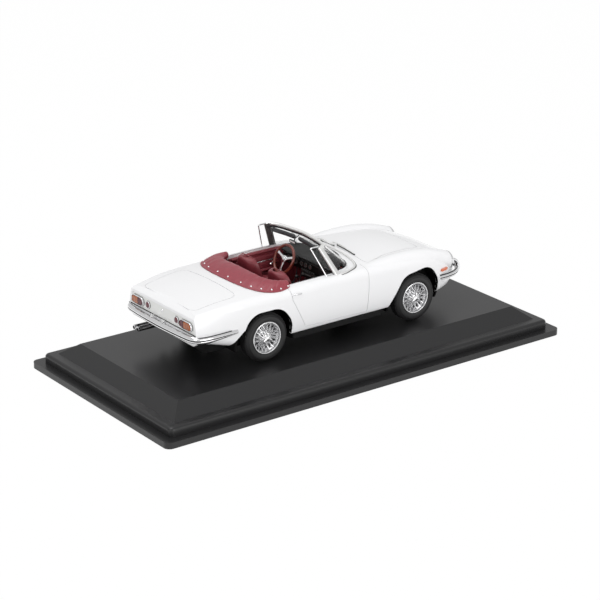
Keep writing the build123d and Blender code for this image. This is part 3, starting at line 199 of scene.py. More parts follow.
def ring_of(radius, sides):
    """The points of a round tube section."""
    return [(radius * cos(2 * pi * i / sides), radius * sin(2 * pi * i / sides)) for i in range(sides)]


def rounded(width, height, radius, steps=4):
    """The points of a rectangle with rounded corners, centred."""
    return [(sx * (width / 2 - radius) + radius * cos(a), sy * (height / 2 - radius) + radius * sin(a))
            for corner, (sx, sy) in enumerate(((1, 1), (-1, 1), (-1, -1), (1, -1)))
            for a in (pi / 2 * (corner + k / steps) for k in range(steps + 1))]


def along(path, section, closed=False, up=UP):
    """Sections set square to a path, as rings. A section's first axis lies across, its second up."""
    rings, path = [], [Vector(point) for point in path]
    first, last = (path[-1], path[0]) if closed else (path[0], path[-1])
    for before, point, after in zip([first, *path], path, [*path[1:], last]):
        ahead = (after - before).normalized()
        across = ahead.cross(Vector(up)).normalized()
        top = across.cross(ahead)
        rings.append([tuple(point + across * u + top * v) for u, v in section])
    return rings


def facing(normal):
    """The turn that brings the Z axis to a direction."""
    return Vector(normal).to_track_quat("Z", "Y").to_matrix().to_4x4()


DOME_WALL = 0.3  # share of a button's height that is straight


class Shape:
    """Vertices and faces in the car's millimetres, which end up as one piece."""

    def __init__(self):
        self.verts, self.faces = [], []

    def rings(self, rows, loop=False, caps=True):
        """Joins closed rows of points by quads: loop joins the last row to the first, caps closes both ends."""
        base, count = len(self.verts), len(rows[0])
        self.verts += [tuple(p) for row in rows for p in row]
        ids = [list(range(base + i * count, base + (i + 1) * count)) for i in range(len(rows))]
        for low, high in zip(ids, ids[1:] + ids[:loop]):
            self.faces += zip(low, low[1:] + low[:1], high[1:] + high[:1], high)
        if caps and not loop:
            self.faces += [ids[0][::-1], ids[-1]]
        return self

    def tube(self, path, radius, sides=10, closed=False, up=UP):
        """A round bar along a path."""
        return self.rings(along(path, ring_of(radius, sides), closed, up), loop=closed)

    def lathe(self, profile, origin, outward, sides, loop=False, caps=False):
        """A form turned about the Y axis through origin: profile holds depths, inwards, and radii."""
        x, y, z = origin
        return self.rings([[(x + u, y - outward * depth, z + v) for u, v in ring_of(r, sides)]
                           for depth, r in profile], loop, caps)

    def turned(self, profile, sides, loop=False, caps=True):
        """A form turned about the Z axis: profile holds heights and radii."""
        return self.rings([[(u, v, z) for u, v in ring_of(r, sides)] for z, r in profile], loop, caps)

    def plate(self, outline, low, high):
        """A plain plate between two heights of a plan outline."""
        return self.rings([[(x, y, z) for x, y in outline] for z in (low, high)])

    def slab(self, outline, low, high, edge):
        """A plate with its top and bottom edges rounded off."""
        points = [Vector(p) for p in outline]
        centre = sum(points, Vector((0, 0))) / len(points)
        turn = [(edge * (1 - sin(a)), edge * (1 - cos(a))) for a in map(radians, (0, 30, 60, 90))]
        rows = [(low + rise, inset) for rise, inset in turn[::-1]] + [(high - rise, inset) for rise, inset in turn]
        return self.rings([[(*(p - (p - centre).normalized() * inset), z) for p in points] for z, inset in rows])

    def dome(self, place, normal, radius, height, sides=16):
        """A flat-bottomed button on a surface, with a rounded top."""
        profile = [(0, radius)] + [(height * (DOME_WALL + (1 - DOME_WALL) * sin(a)), radius * cos(a))
                                   for a in map(radians, (0, 25, 50, 72))]
        return self.add(Shape().turned(profile, sides).moved(Matrix.Translation(place) @ facing(normal)))

    def moved(self, matrix):
        """The same shape under a transform."""
        self.verts = [tuple(matrix @ Vector(p)) for p in self.verts]
        return self

    def add(self, other):
        """Takes in another shape."""
        base = len(self.verts)
        self.verts += other.verts
        self.faces += [tuple(base + i for i in face) for face in other.faces]
        return self

    def piece(self, name, mat, replaced="", body="model", crease=40, subdivide=0):
        """Makes the piece, smooth up to crease degrees, and names its body and the node it replaces."""
        mesh = bpy.data.meshes.new(name)
        mesh.from_pydata([car(p) for p in self.verts], [], self.faces)
        obj = bpy.data.objects.new(name, mesh)
        scene.collection.objects.link(obj)
        tool = bmesh.new()
        tool.from_mesh(mesh)
        bmesh.ops.recalc_face_normals(tool, faces=tool.faces)
        for face in tool.faces:
            face.smooth = True
        for edge in tool.edges:
            if len(edge.link_faces) == 2 and edge.calc_face_angle(0) > radians(crease):
                edge.smooth = False
        tool.to_mesh(mesh)
        tool.free()
        mesh.materials.append(mat)
        if subdivide:
            modifier = obj.modifiers.new("smooth", "SUBSURF")
            modifier.levels = modifier.render_levels = subdivide
        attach(obj, body)
        if replaced:
            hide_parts(replaced)


# ---- wheels
TYRE_R, TYRE_W, RIM_R, FACE_Y = 7.5, 4.6, 4.95, 18.6
# depth from the outer face and radius, from the bead to the first tread rib
SIDEWALL = [
    (0.5, RIM_R), (0.3, 5.02), (0.12, 5.2), (0.03, 5.5), (0, 5.9), (0.02, 6.25), (0.07, 6.42), (0, 6.47),
    (0.03, 6.56), (0.13, 6.6), (0.28, 6.86), (0.5, 7.1), (0.78, 7.3), (0.98, 7.38),
]
TREAD_RIBS = [(1, 1.55), (1.72, 2.22)]  # from and to, in depth, on the outer half of the tread
GROOVE_DEEP, GROOVE_SLOPE, SIPE_DEEP, SIPE_EVERY, TREAD_STEPS = 0.2, 0.02, 0.13, 4, 144


def tyre_rows():
    """Depth, radius and whether the point is cut by the sipes, round one tyre's section."""
    half = [(d, r, False) for d, r in SIDEWALL]
    for low, high in TREAD_RIBS:
        half += [(low, TYRE_R - GROOVE_DEEP, False), (low + GROOVE_SLOPE, TYRE_R, True),
                 (high - GROOVE_SLOPE, TYRE_R, True), (high, TYRE_R - GROOVE_DEEP, False)]
    return half + [(TYRE_W - d, r, cut) for d, r, cut in reversed(half)]


def make_tyre(x, side, name, body):
    """A tyre with a ribbed sidewall and a cut tread."""
    rows = []
    for depth, radius, cut in tyre_rows():
        ring = []
        for i, (u, v) in enumerate(ring_of(1, TREAD_STEPS)):
            r = radius - SIPE_DEEP if cut and i % SIPE_EVERY == 0 else radius
            ring.append((x + r * u, side * (FACE_Y - depth), AXLE_Z + r * v))
        rows.append(ring)
    Shape().rings(rows, loop=True).piece(f"dressed_{name}", rubber, name, body, 50)


# depth from the outer face and radius
RIM_SECTION = [
    (0.26, 4.93), (0.18, 4.8), (0.2, 4.62), (0.36, 4.52), (0.8, 4.48), (1, 4.4), (1.3, 4.1), (1.7, 4),
    (3, 4), (3.4, 4.3), (4.1, 4.5), (4.3, 4.6), (4.3, 4.93),
]
HUB_SECTION = [
    (0.1, 0.6), (0.12, 0.95), (0.3, 1.2), (0.5, 1.2), (0.7, 0.85), (2.3, 0.85), (2.6, 1.45), (3.1, 1.45),
    (3.2, 0.65),
]
# spoke rows: number of pairs, depth and radius at the hub and at the rim, turn between the two ends in degrees
SPOKE_ROWS = [(16, 0.42, 1.15, 1.55, 4.08, 30), (20, 2.75, 1.42, 0.9, 4.46, 13), (12, 0.55, 1.15, 2.4, 4.02, 14)]
SPOKE_R, SPOKE_SHIFT = 0.085, 0.25  # the two spokes of a pair start this share of a pair's turn either way


def make_wire_wheel(x, side, name, body):
    """A rim and hub laced together by crossed wire spokes."""
    origin = (x, side * FACE_Y, AXLE_Z)
    wheel = Shape().lathe(RIM_SECTION, origin, side, 96, loop=True)
    wheel.lathe(HUB_SECTION, origin, side, 32, loop=True)
    for pairs, hub_d, hub_r, rim_d, rim_r, turn in SPOKE_ROWS:
        for i in range(pairs):
            for way in (1, -1):
                start = 2 * pi * (i + SPOKE_SHIFT * way) / pairs
                end = start + way * radians(turn)
                ends = [(x + r * cos(a), side * (FACE_Y - d), AXLE_Z + r * sin(a))
                        for d, r, a in ((hub_d, hub_r, start), (rim_d, rim_r, end))]
                wheel.tube(ends, SPOKE_R, 6, up=LEFT)
    wheel.piece(f"laced_{name}", wheel_chrome, name, body, 35)


CAP_SECTION = [(0.3, 1), (0.05, 1.02), (-0.08, 0.9), (-0.14, 0.62), (-0.3, 0.5), (-0.38, 0.3), (-0.4, 0.05)]
EARS, EAR_SIDES, EAR_OUT = 3, 10, 0.16
# along an ear: distance from the axle, half-width and half-thickness
EAR_ROWS = [(0.25, 0.3, 0.2), (0.7, 0.28, 0.16), (1.15, 0.24, 0.14), (1.5, 0.3, 0.12), (1.66, 0.16, 0.07)]


def make_spinner(x, side, name, body):
    """A hub cap with three ears."""
    cap = Shape().lathe(CAP_SECTION, (x, side * FACE_Y, AXLE_Z), side, 36, caps=True)
    for i in range(EARS):
        a = pi / 2 + 2 * pi * i / EARS
        cap.rings([[(x + reach * cos(a) - u * width * sin(a), side * (FACE_Y + EAR_OUT) + v * depth,
                     AXLE_Z + reach * sin(a) + u * width * cos(a)) for u, v in ring_of(1, EAR_SIDES)]
                   for reach, width, depth in EAR_ROWS])
    cap.piece(f"eared_{name}", chrome, name, body, 35)


for end, x in AXLES:
    for side, hand in SIDES:
        for make, kind in ((make_tyre, "tyre"), (make_wire_wheel, "wire_wheel"), (make_spinner, "wheel_spinner")):
            make(x, side, f"{kind}_{end}_{hand}", f"{end}_wheels")

# ---- folded-hood cover
COVER_STEPS = 9
# half of each edge from above, from the middle of the back to the tip of one arm
COVER_OUTER = [
    (-32, 0), (-31.75, 5), (-31, 9.5), (-30, 12.6), (-28.5, 15.2), (-26.3, 17), (-23.6, 17.7),
    (-20.8, 17.6), (-18.6, 16.9),
]
COVER_INNER = [
    (-23.5, 0), (-23.45, 5), (-23.2, 9), (-22.6, 11), (-21.7, 12.5), (-20.6, 13.5), (-19.6, 14.2),
    (-18.7, 14.7), (-18, 15.4),
]
# cross-section from the outer hem over the crown and under the rolled inner edge: share of the width, height
COVER_SECTION = [
    (0, 0.02), (-0.012, 0.14), (0, 0.3), (0.035, 0.36), (0.06, 0.34), (0.09, 0.46), (0.16, 0.74), (0.26, 1.08),
    (0.38, 1.38), (0.5, 1.58), (0.62, 1.68), (0.74, 1.68), (0.84, 1.58), (0.92, 1.32), (0.975, 0.9), (1, 0.4),
    (0.985, -0.15), (0.94, -0.55), (0.87, -0.7), (0.78, -0.5), (0.6, 0.02),
]
ARM_TAPER = 0.12  # share of the length over which an arm's end rounds off
FOLD_DEEP, SNAP_PULL = 0.2, 0.12
SNAP_COUNT, SNAP_SHARE, SNAP_REACH, SNAP_Z = 14, 0.135, 0.94, 0.62  # SNAP_REACH: the end snaps' place along an arm
SNAP_R, SNAP_H, SNAP_SINK = 0.29, 0.28, 0.05
COVER_EDGES = [smooth_path([(x, y, 0) for x, y in edge], COVER_STEPS) for edge in (COVER_OUTER, COVER_INNER)]


def cover_point(t, share, height):
    """A point of the cover: t runs from the right arm's tip (-1) to the left arm's (1)."""
    reach = abs(t) * (len(COVER_EDGES[0]) - 1)
    low = min(int(reach), len(COVER_EDGES[0]) - 2)
    outer, inner = (Vector(edge[low]).lerp(Vector(edge[low + 1]), reach - low) for edge in COVER_EDGES)
    spot = outer.lerp(inner, share)
    side = 1 if t >= 0 else -1
    left = (1 - abs(t)) / ARM_TAPER
    taper = sqrt(1 - (1 - min(left, 1)) ** 2)
    fold = noise.noise(Vector((t * 17, share * 1.2, 3.7))) + 0.5 * noise.noise(Vector((t * 41, share * 2.5, 8.1)))
    snap = cos(pi * (t + 1) * (SNAP_COUNT - 1) / SNAP_REACH)
    lift = height
    if height > 0:
        lift *= 1 - SNAP_PULL * max(snap, 0) * max(0, 1 - share * 3)
        lift += FOLD_DEEP * fold * min(height, 1) * (0.45 + 0.55 * max(0, 1 - share))
    return (spot.x, side * spot.y, body_top(spot.x, side * spot.y) + lift * taper)


def make_cover():
    """The padded cover over the folded hood, with its snaps."""
    count = 2 * COVER_STEPS * (len(COVER_OUTER) - 1)
    rows = [[cover_point(-1 + 2 * i / count, share, height) for share, height in COVER_SECTION]
            for i in range(count + 1)]
    Shape().rings(rows).piece("padded_cover", vinyl, "tonneau_cover", crease=75, subdivide=1)
    snaps = Shape()
    for i in range(SNAP_COUNT):
        t = (-1 + 2 * i / (SNAP_COUNT - 1)) * SNAP_REACH
        place = Vector(cover_point(t, SNAP_SHARE, SNAP_Z))
        ahead = Vector(cover_point(t + 0.01, SNAP_SHARE, SNAP_Z)) - place
        inward = Vector(cover_point(t, SNAP_SHARE + 0.06, SNAP_Z + 0.2)) - place
        normal = ahead.cross(inward)
        normal = normal if normal.z > 0 else -normal
        snaps.dome(place - normal.normalized() * SNAP_SINK, normal, SNAP_R, SNAP_H, 18)
    snaps.piece("cover_studs", chrome, "tonneau_snaps")


make_cover()

# ---- seats
SEAT_Y = 7.9
# backrest: x and z of its middle, half-width, thickness, from the foot up
BACK_ROWS = [
    (-14.6, 10.6, 4.6, 2.2), (-15.2, 12.4, 5, 2.7), (-16.1, 15.5, 5.1, 2.8), (-17, 18.6, 5.1, 2.4),
    (-17.5, 20.4, 4.95, 2), (-17.8, 21.5, 4.6, 1.7), (-18.05, 22.3, 4, 1.4), (-18.2, 22.85, 3.1, 1.1),
    (-18.25, 23.15, 2, 0.6),
]
# cushion: the same, from the backrest forwards
CUSHION_ROWS = [
    (-15.4, 10.6, 4.5, 1.8), (-14.6, 10.7, 4.9, 2.9), (-12.5, 10.9, 5.05, 3.3), (-9.5, 11.2, 5.1, 3.5),
    (-7, 11.4, 5.05, 3.5), (-5.5, 11.4, 4.95, 3.1), (-4.8, 11.3, 4.7, 2.2), (-4.5, 11.2, 4.2, 1),
]
WING, CUSHION_WING, FLUTES, FLUTED, FLUTE_DEEP = 2.1, 0.55, 6, 0.72, 0.16  # FLUTED: share of the width with flutes
SEAT_POINTS, SEAT_ROUND = 40, 6
PIPED_FROM = 3  # the backrest's row where the piping starts
TUB_FLOOR = 8.02


def seat_ring(x, z, half, thick, side, lying):
    """One closed outline round a cushion: its face is fluted in the middle and winged at the ends."""
    points = []
    for way in (1, -1):
        for k in range(SEAT_POINTS):
            v = way * (-1 + 2 * (k + 0.5) / SEAT_POINTS)
            bulge = way * thick / 2 * (1 - abs(v) ** SEAT_ROUND) ** 0.5
            if way > 0 and abs(v) < FLUTED:
                bulge += FLUTE_DEEP * (abs(sin(pi * (v / FLUTED + 1) * FLUTES / 2)) - 1)
            wing = WING * abs(v) ** 3
            y = side * SEAT_Y + half * v
            points.append((x, y, z + bulge + wing * CUSHION_WING) if lying else (x + bulge + wing, y, z))
    return points


def make_seat(side, hand):
    """A bucket seat: winged backrest, fluted cushion, piping and rails."""
    seat = Shape().rings([seat_ring(*row, side, False) for row in BACK_ROWS])
    seat.rings([seat_ring(*row, side, True) for row in CUSHION_ROWS])
    piped = BACK_ROWS[PIPED_FROM:]
    piping = [(x + 0.3 * thick + 0.8 * WING, side * SEAT_Y + way * 0.93 * half, z)
              for way, rows in ((-1, piped), (1, piped[::-1])) for x, z, half, thick in rows]
    seat.tube(smooth_path(piping, 2), 0.16, 8)
    for shift in (-3, 3):
        seat.plate([(x - 10.6, side * SEAT_Y + shift + y) for x, y in rounded(9, 0.9, 0.2)], TUB_FLOOR, 9.6)
    seat.piece(f"bucket_seat_{hand}", burgundy, f"seat_{hand}", crease=55)


# ---- door trims
TUB_FACE, TRIM_FROM, TRIM_TO = 14.8, -16, 2.2
# padded bars: points along, steps between them, half-depth and half-height
DOOR_ROLL = ([(-17.5, 15.15, 19.6), (-10, 15.2, 19.95), (-3, 15.2, 20), (1.5, 14.9, 20.1)], 6, 0.75, 0.6)
ARMREST = ([(-11.4, 14, 14.3), (-10.4, 13.5, 14.6), (-6.5, 13.4, 14.8), (-3.4, 13.7, 14.7), (-2.6, 14.1, 14.3)],
           5, 0.55, 0.42)
DOOR_PANELS = [(9, 13.6, 0.55), (13.75, 17.3, 0.75), (17.45, 19, 0.6)]  # from and to in height, thickness


def make_door_trim(side, hand):
    """The padded inner door: panel, roll along the top, armrest, bright strip, pull and winder."""
    def at(y, points):
        return [(x, side * y, z) for x, z in points]

    panel = Shape()
    length, middle = TRIM_TO - TRIM_FROM, (TRIM_TO + TRIM_FROM) / 2
    for low, high, proud in DOOR_PANELS:
        height = (low + high) / 2
        outline = rounded(length, high - low, 0.5)
        panel.rings([at(TUB_FACE - depth, [(middle + x * (1 - inset / 9), height + z * (1 - inset / 2.5))
                                           for x, z in outline])
                     for inset, depth in ((0, 0.02), (0, proud - 0.25), (0.08, proud - 0.1), (0.25, proud))])
    for points, steps, depth, height in (DOOR_ROLL, ARMREST):
        section = [(depth * u, height * v) for u, v in ring_of(1, 12)]
        panel.rings(along(smooth_path(mirrored(points, side), steps), section))
    panel.piece(f"padded_door_{hand}", burgundy, f"door_trim_{hand}", crease=50)
    bright = Shape()
    bright.tube(at(TUB_FACE - 0.72, [(TRIM_FROM + 0.6, 17.37), (TRIM_TO - 0.4, 17.37)]), 0.13, 8)
    pull = [(-1.2, 15.9), (-1.9, 16.25), (-3, 16.3), (-3.7, 16)]
    bright.tube(smooth_path(at(TUB_FACE - 1, pull), 5), 0.17, 8)
    for x, z, button in ((-1.3, 15.9, [(0, 0.5), (0.2, 0.5), (0.3, 0.3), (0.32, 0.05)]),
                         (-10.6, 12.2, [(0, 0.45), (0.2, 0.42), (0.3, 0.2)])):
        bright.lathe(button, (x, side * (TUB_FACE - 0.7), z), -side, 18, caps=True)
    bright.tube(at(TUB_FACE - 1.05, [(-10.6, 12.2), (-9.2, 13), (-8.7, 13.1)]), 0.15, 8)
    bright.piece(f"door_brightwork_{hand}", chrome)


FINISHER_X = [-17.4 + 0.8 * k for k in range(20)]


def make_finisher(side, hand):
    """The bright strip along the top edge of a door opening."""
    edge = [(x, side * 15.75, body_top(x, side * 15.95) + 0.04) for x in FINISHER_X]
    Shape().rings(along(edge, rounded(0.34, 0.2, 0.08, 2))).piece(f"door_finisher_{hand}", chrome)


for make in (make_seat, make_door_trim, make_finisher):
    for side, hand in SIDES:
        make(side, hand)

# ---- dashboard, controls and steering wheel
DASH_FACE = 0.62  # x of the dashboard's lower face
DASH_HALF, DASH_TOP_X, DASH_SWEEP, DASH_STEPS = 13.6, 8.6, 6.9, 12  # the roll's plan: its ends sweep back
DASH_PANELS = [(-8.5, 18.2, 7, 2), (0, 15.2, 7.2, 2)]  # y and z of the middle, width, height
COWL = [
    (0.5, 4.2, 18.9), (0.1, 4.6, 19.9), (-0.1, 6, 20.35), (-0.1, 9, 20.35), (0.1, 10.4, 19.9), (0.5, 10.8, 18.9),
]


def make_dash():
    """The roll over the dashboard up to the windscreen's foot, with the panels set in its face."""
    rows = []
    for k in range(2 * DASH_STEPS + 1):
        v = -1 + k / DASH_STEPS
        y, x = DASH_HALF * v, DASH_TOP_X - DASH_SWEEP * abs(v) ** 2.6
        crown = deck_crown(x, y)
        rows.append([(x, y, crown + 0.02), (x - 0.1, y, crown + 0.22), (1.6, y, 20.75), (0.6, y, 20.6),
                     (0.25, y, 20.25), (0.45, y, 19.85), (1.2, y, 19.7), (3, y, 19.8)])
    Shape().rings(rows).piece("dash_roll", dash_black, crease=60)
    panels = Shape()
    for y, z, width, height in DASH_PANELS:
        panels.rings([[(DASH_FACE + depth, y + u * across, z + v * tall) for u, v in rounded(width, height, 0.3)]
                      for depth, across, tall in ((0.5, 1, 1), (0.12, 1, 1), (0, 0.96, 0.9))])
    panels.tube(smooth_path(COWL, 5), 0.22, 8, up=AHEAD)
    panels.piece("dash_panels", dash_black, crease=45)


GAUGES = [(5.7, 1), (9.3, 1), (-1.6, 0.7), (0.6, 0.7), (2.8, 0.7)]  # y and radius
GAUGE_X, GAUGE_Z, GAUGE_T = 0.2, 18.6, 0.12
TICKS, TICK_FROM, TICK_STEP, NEEDLE = 9, radians(-50), radians(35), radians(150)


def make_gauges():
    """Dial faces with rims, ticks and needles, and the knobs below them."""
    dials, rims, knobs = Shape(), Shape(), Shape()
    for y, r in GAUGES:
        at = Matrix.Translation((GAUGE_X, y, GAUGE_Z)) @ Matrix.Rotation(-pi / 2, 4, "Y")
        dials.add(Shape().slab(ring_of(r, 28), 0, GAUGE_T, 0.05).moved(at))
        marks = Shape().tube([(u, v, GAUGE_T) for u, v in ring_of(r, 28)], 0.055, 6, closed=True)
        for a in (TICK_FROM + TICK_STEP * k for k in range(TICKS)):
            marks.tube([(r * s * cos(a), r * s * sin(a), 0.13) for s in (0.62, 0.82)], 0.03, 4)
        marks.tube([(r * s * cos(NEEDLE), r * s * sin(NEEDLE), 0.14) for s in (0, 0.6)], 0.035, 4)
        rims.add(marks.moved(at))
    for k in range(-3, 4):
        knobs.dome((DASH_FACE, k, 16.75), (-1, 0, 0.1), 0.22, 0.4, 10)
    for y in (-2.6, 2.6):
        knobs.dome((DASH_FACE, y, 15.2), (-1, 0, 0), 0.45, 0.5)
    knobs.tube([(0.5, -1.6, 15.4), (0.5, 1.6, 15.4)], 0.16, 6)  # radio bar
    knobs.tube([(0.5, -9.2, 18.7), (0.5, -7.8, 18.7)], 0.13, 6)  # locker pull
    dials.piece("dial_faces", gauge_face, "gauges")
    rims.piece("dial_rims", post_grey)
    knobs.piece("dash_knobs", post_grey)


SHELF_X, SHELF_DEEP, SHELF_WIDE, SHELF_Z = -24.6, 5.4, 27, 20  # behind the seats, running in under the cover
TUNNEL = [(2.35, 8.1), (2.35, 11.2), (2, 11.8), (1.2, 12.05)]  # half its section
GAITER = [(12, 1.25), (12.25, 1.1), (12.4, 0.85), (12.65, 0.9), (12.8, 0.55), (13.1, 0.5)]  # height and radius


def make_floor_fittings():
    """Pedals, carpet over the floor, tunnel and shelf, gear lever and hand brake."""
    pedals = Shape()
    for y in (4.6, 6.9, 9.2):
        pedals.tube([(3.4, y, 15), (2.6, y, 11.5), (1.4, y, 9.9)], 0.2, 6, up=LEFT)
        pad = Shape().slab(rounded(1.2, 1.1, 0.25), 0, 0.35, 0.1)
        pedals.add(pad.moved(Matrix.Translation((1.2, y, 9.9)) @ Matrix.Rotation(radians(-60), 4, "Y")))
    pedals.piece("pedals", trim_grey)
    carpet = Shape()
    for side, _ in SIDES:
        rug = [(min(x - 9, 4.4), side * 8.2 + y) for x, y in rounded(26, 11.6, 0.8)]
        carpet.plate(rug, TUB_FLOOR, TUB_FLOOR + 0.28)
    hump = TUNNEL + [(-y, z) for y, z in reversed(TUNNEL)]
    carpet.rings([[(x, y, z) for y, z in hump] for x in (-21.5, -19, -10, -2, 1.2)])
    shelf = [(SHELF_X + x, y) for x, y in rounded(SHELF_DEEP, SHELF_WIDE, 1)]
    carpet.plate(shelf, SHELF_Z - 0.3, SHELF_Z)
    carpet.piece("carpet", flock)
    lever = Shape().turned(GAITER, 20).moved(Matrix.Translation((-3.4, 0, 0)))
    lever.dome((-3.75, 0, 15.9), (-0.15, 0, 1), 0.6, 0.65)
    lever.dome((-3.75, 0, 15.95), (0.15, 0, -1), 0.6, 0.5)
    lever.piece("gear_knob_and_gaiter", dash_black, "gear_lever")
    rods = Shape().tube([(-3.4, 0, 12.6), (-3.45, 0, 14.2), (-3.7, 0, 15.8)], 0.2, 8, up=LEFT)
    rods.tube([(-10.5, 1.2, 12.1), (-8.6, 1.2, 12.9), (-6.6, 1.2, 13.2)], 0.2, 8, up=LEFT)
    rods.piece("lever_rods", chrome)


STEER_C, STEER_TILT, STEER_R, GRIP_R = Vector((-3, 7.5, 19.3)), radians(25), 4.4, 0.45
# along a spoke: distance from the middle, half-width and height over the rim's plane
STEER_SPOKE = [(0.7, 0.62, -0.1), (1.6, 0.5, -0.05), (3, 0.42, 0), (4.1, 0.5, 0), (4.35, 0.75, 0)]


def make_steering_wheel():
    """Rim, three sprung spokes and horn push."""
    frame_of = Matrix.Translation(STEER_C) @ Matrix((
        (0, sin(STEER_TILT), -cos(STEER_TILT)), (1, 0, 0), (0, cos(STEER_TILT), sin(STEER_TILT)))).to_4x4()
    rim = [(u, v, 0) for u, v in ring_of(STEER_R, 96)]
    grip = Shape().tube(rim, GRIP_R, 12, closed=True).moved(frame_of)
    grip.piece("wood_wheel_rim", rim_brown, "steering_wheel_rim")
    web = Shape()
    for a in map(radians, (-90, 20, 160)):
        web.rings([[(reach * cos(a) - u * sin(a), reach * sin(a) + u * cos(a), height + v)
                    for u, v in rounded(2 * width, 0.26, 0.1, 2)] for reach, width, height in STEER_SPOKE])
    web.slab(ring_of(1.15, 28), -0.3, 0.25, 0.12)
    web.slab(ring_of(0.6, 20), 0.2, 0.5, 0.12)
    web.moved(frame_of).piece("wheel_web", chrome, "steering_wheel_spokes")


make_dash()
make_gauges()
make_floor_fittings()
make_steering_wheel()

# ---- windscreen surround, visors, mirror, wipers
# half of the windscreen's curve from above, from the post to the middle, at its foot and its head
SCREEN_FOOT = [(-0.7, 16.9), (2.3, 16.4), (6.6, 14.2), (8.4, 8.6), (9, 0)]
SCREEN_HEAD = [(-5.2, 13.3), (-4.6, 12.9), (-3.5, 11.2), (-2.8, 8.2), (-1.8, 0)]
FOOT_Z, HEAD_Z = 20, 29.8
POST_W, POST_D, POST_TURN = 1.9, 0.8, radians(30)
POST_FOOT, POST_HEAD, POST_STEPS = (-0.8, 16.8, 20.5), (-5.25, 13.4, 29.6), 8


def screen_path(z, outward, steps=8):
    """The windscreen's curve right across the car at one height, moved forwards and outwards."""
    share = (z - FOOT_Z) / (HEAD_Z - FOOT_Z)
    half = [(f[0] + (h[0] - f[0]) * share + outward, f[1] + (h[1] - f[1]) * share + outward * 0.55 * (f[1] > 1), z)
            for f, h in zip(SCREEN_FOOT, SCREEN_HEAD)]
    return smooth_path(half + mirrored(half[-2::-1], -1), steps)


QUARTER_PATH = [
    (-1.9, 16.75, 20.6), (-4.1, 16.75, 20.55), (-4.75, 16.6, 20.85), (-6.6, 15, 25.2), (-8.25, 13.45, 29.1),
    (-8.3, 13.3, 29.6), (-7.8, 13.3, 29.72), (-5.6, 13.3, 29.72),
]


def make_screen_surround():
    """Header with its lining, foot moulding and posts in one, and the quarter-window frames."""
    surround = Shape().rings(along(screen_path(29.35, 0.3), rounded(1, 0.9, 0.35, 3)))
    foot = [(x, y, body_top(x, y) + 0.18) for x, y, _ in screen_path(FOOT_Z, 0.6, 10)]
    surround.rings(along(foot, rounded(0.6, 0.5, 0.2, 3)))
    seal = [(x, y, body_top(x, y) + 0.06) for x, y, _ in screen_path(FOOT_Z, 0.98, 10)]
    Shape().tube(seal, 0.13, 8).piece("screen_foot_seal", post_grey)
    for side, hand in SIDES:
        low, high = (Vector(p) for p in mirrored((POST_FOOT, POST_HEAD), side))
        post = [low.lerp(high, k / POST_STEPS) for k in range(POST_STEPS + 1)]
        across = Vector((cos(POST_TURN), -side * sin(POST_TURN), 0))
        front = across.cross(UP)
        surround.rings(along(post, rounded(POST_W, POST_D, 0.3, 3), up=front))
        lining = Shape().tube([p + across * 1.1 for p in post], 0.18, 8)
        cover = [p + front * side * POST_D * 0.55 for p in post]
        lining.rings(along(cover, rounded(POST_W * 0.86, 0.24, 0.1, 2), up=front))
        lining.piece(f"post_lining_{hand}", post_grey)
    surround.piece("screen_surround", satin_steel, "windscreen_frame", crease=50)
    lining = Shape().rings(along(screen_path(28.75, -0.3), rounded(0.5, 1.1, 0.2, 2)))
    lining.piece("header_lining", trim_grey, crease=60)
    frames = Shape()
    for side, _ in SIDES:
        path = smooth_path(mirrored(QUARTER_PATH, side), 5)
        frames.rings(along(path, rounded(0.4, 0.42, 0.15, 2), up=LEFT))
    frames.piece("quarter_frames", chrome, "quarter_window_frames", crease=60)


# along a visor: distance from the middle, how far forward, share of its size
VISOR_ROWS = [(1.1, 1, 0.55), (1.4, 1.25, 1), (5.8, 0.85, 1), (10.6, 0, 1), (10.95, -0.1, 0.55)]
# the mirror's shell from its face to its back: x, width, height
MIRROR_SHELL = [(-5.36, 3.1, 0.8), (-5.3, 3.35, 0.96), (-5.1, 3.4, 1), (-4.85, 3.1, 0.85), (-4.7, 2.4, 0.6)]
MIRROR_Z = 27.4


def make_visors_and_mirror():
    """Two padded visors under the header and the mirror between them."""
    visors = Shape()
    for side, _ in SIDES:
        visors.rings([[(-4.75 + shift + size * (u * 0.55 - v * 0.32), side * y, 28.3 + size * (v * 0.95 + u * 0.2))
                       for u, v in rounded(1.6, 1.6, 0.75, 5)] for y, shift, size in VISOR_ROWS])
    visors.piece("padded_visors", trim_grey, "sun_visors", crease=50)
    mirror = Shape().rings([[(x, u, MIRROR_Z + v) for u, v in rounded(w, h, 0.28)] for x, w, h in MIRROR_SHELL])
    mirror.tube([(-4.8, 0, 27.5), (-4.2, 0, 28.4), (-2.9, 0, 29)], 0.17, 8, up=LEFT)
    mirror.piece("driving_mirror", trim_grey, "rear_view_mirror", crease=35)
    face = Shape().rings([[(x, u, MIRROR_Z + v) for u, v in rounded(2.7, 0.5, 0.2)] for x in (-5.3, -5.4)])
    face.piece("mirror_face", satin_steel)


WIPERS = [((11.9, 10.6), (11.4, 1.2)), ((12.8, 4), (11.9, -8.4))]  # x and y of the spindle and of the tip


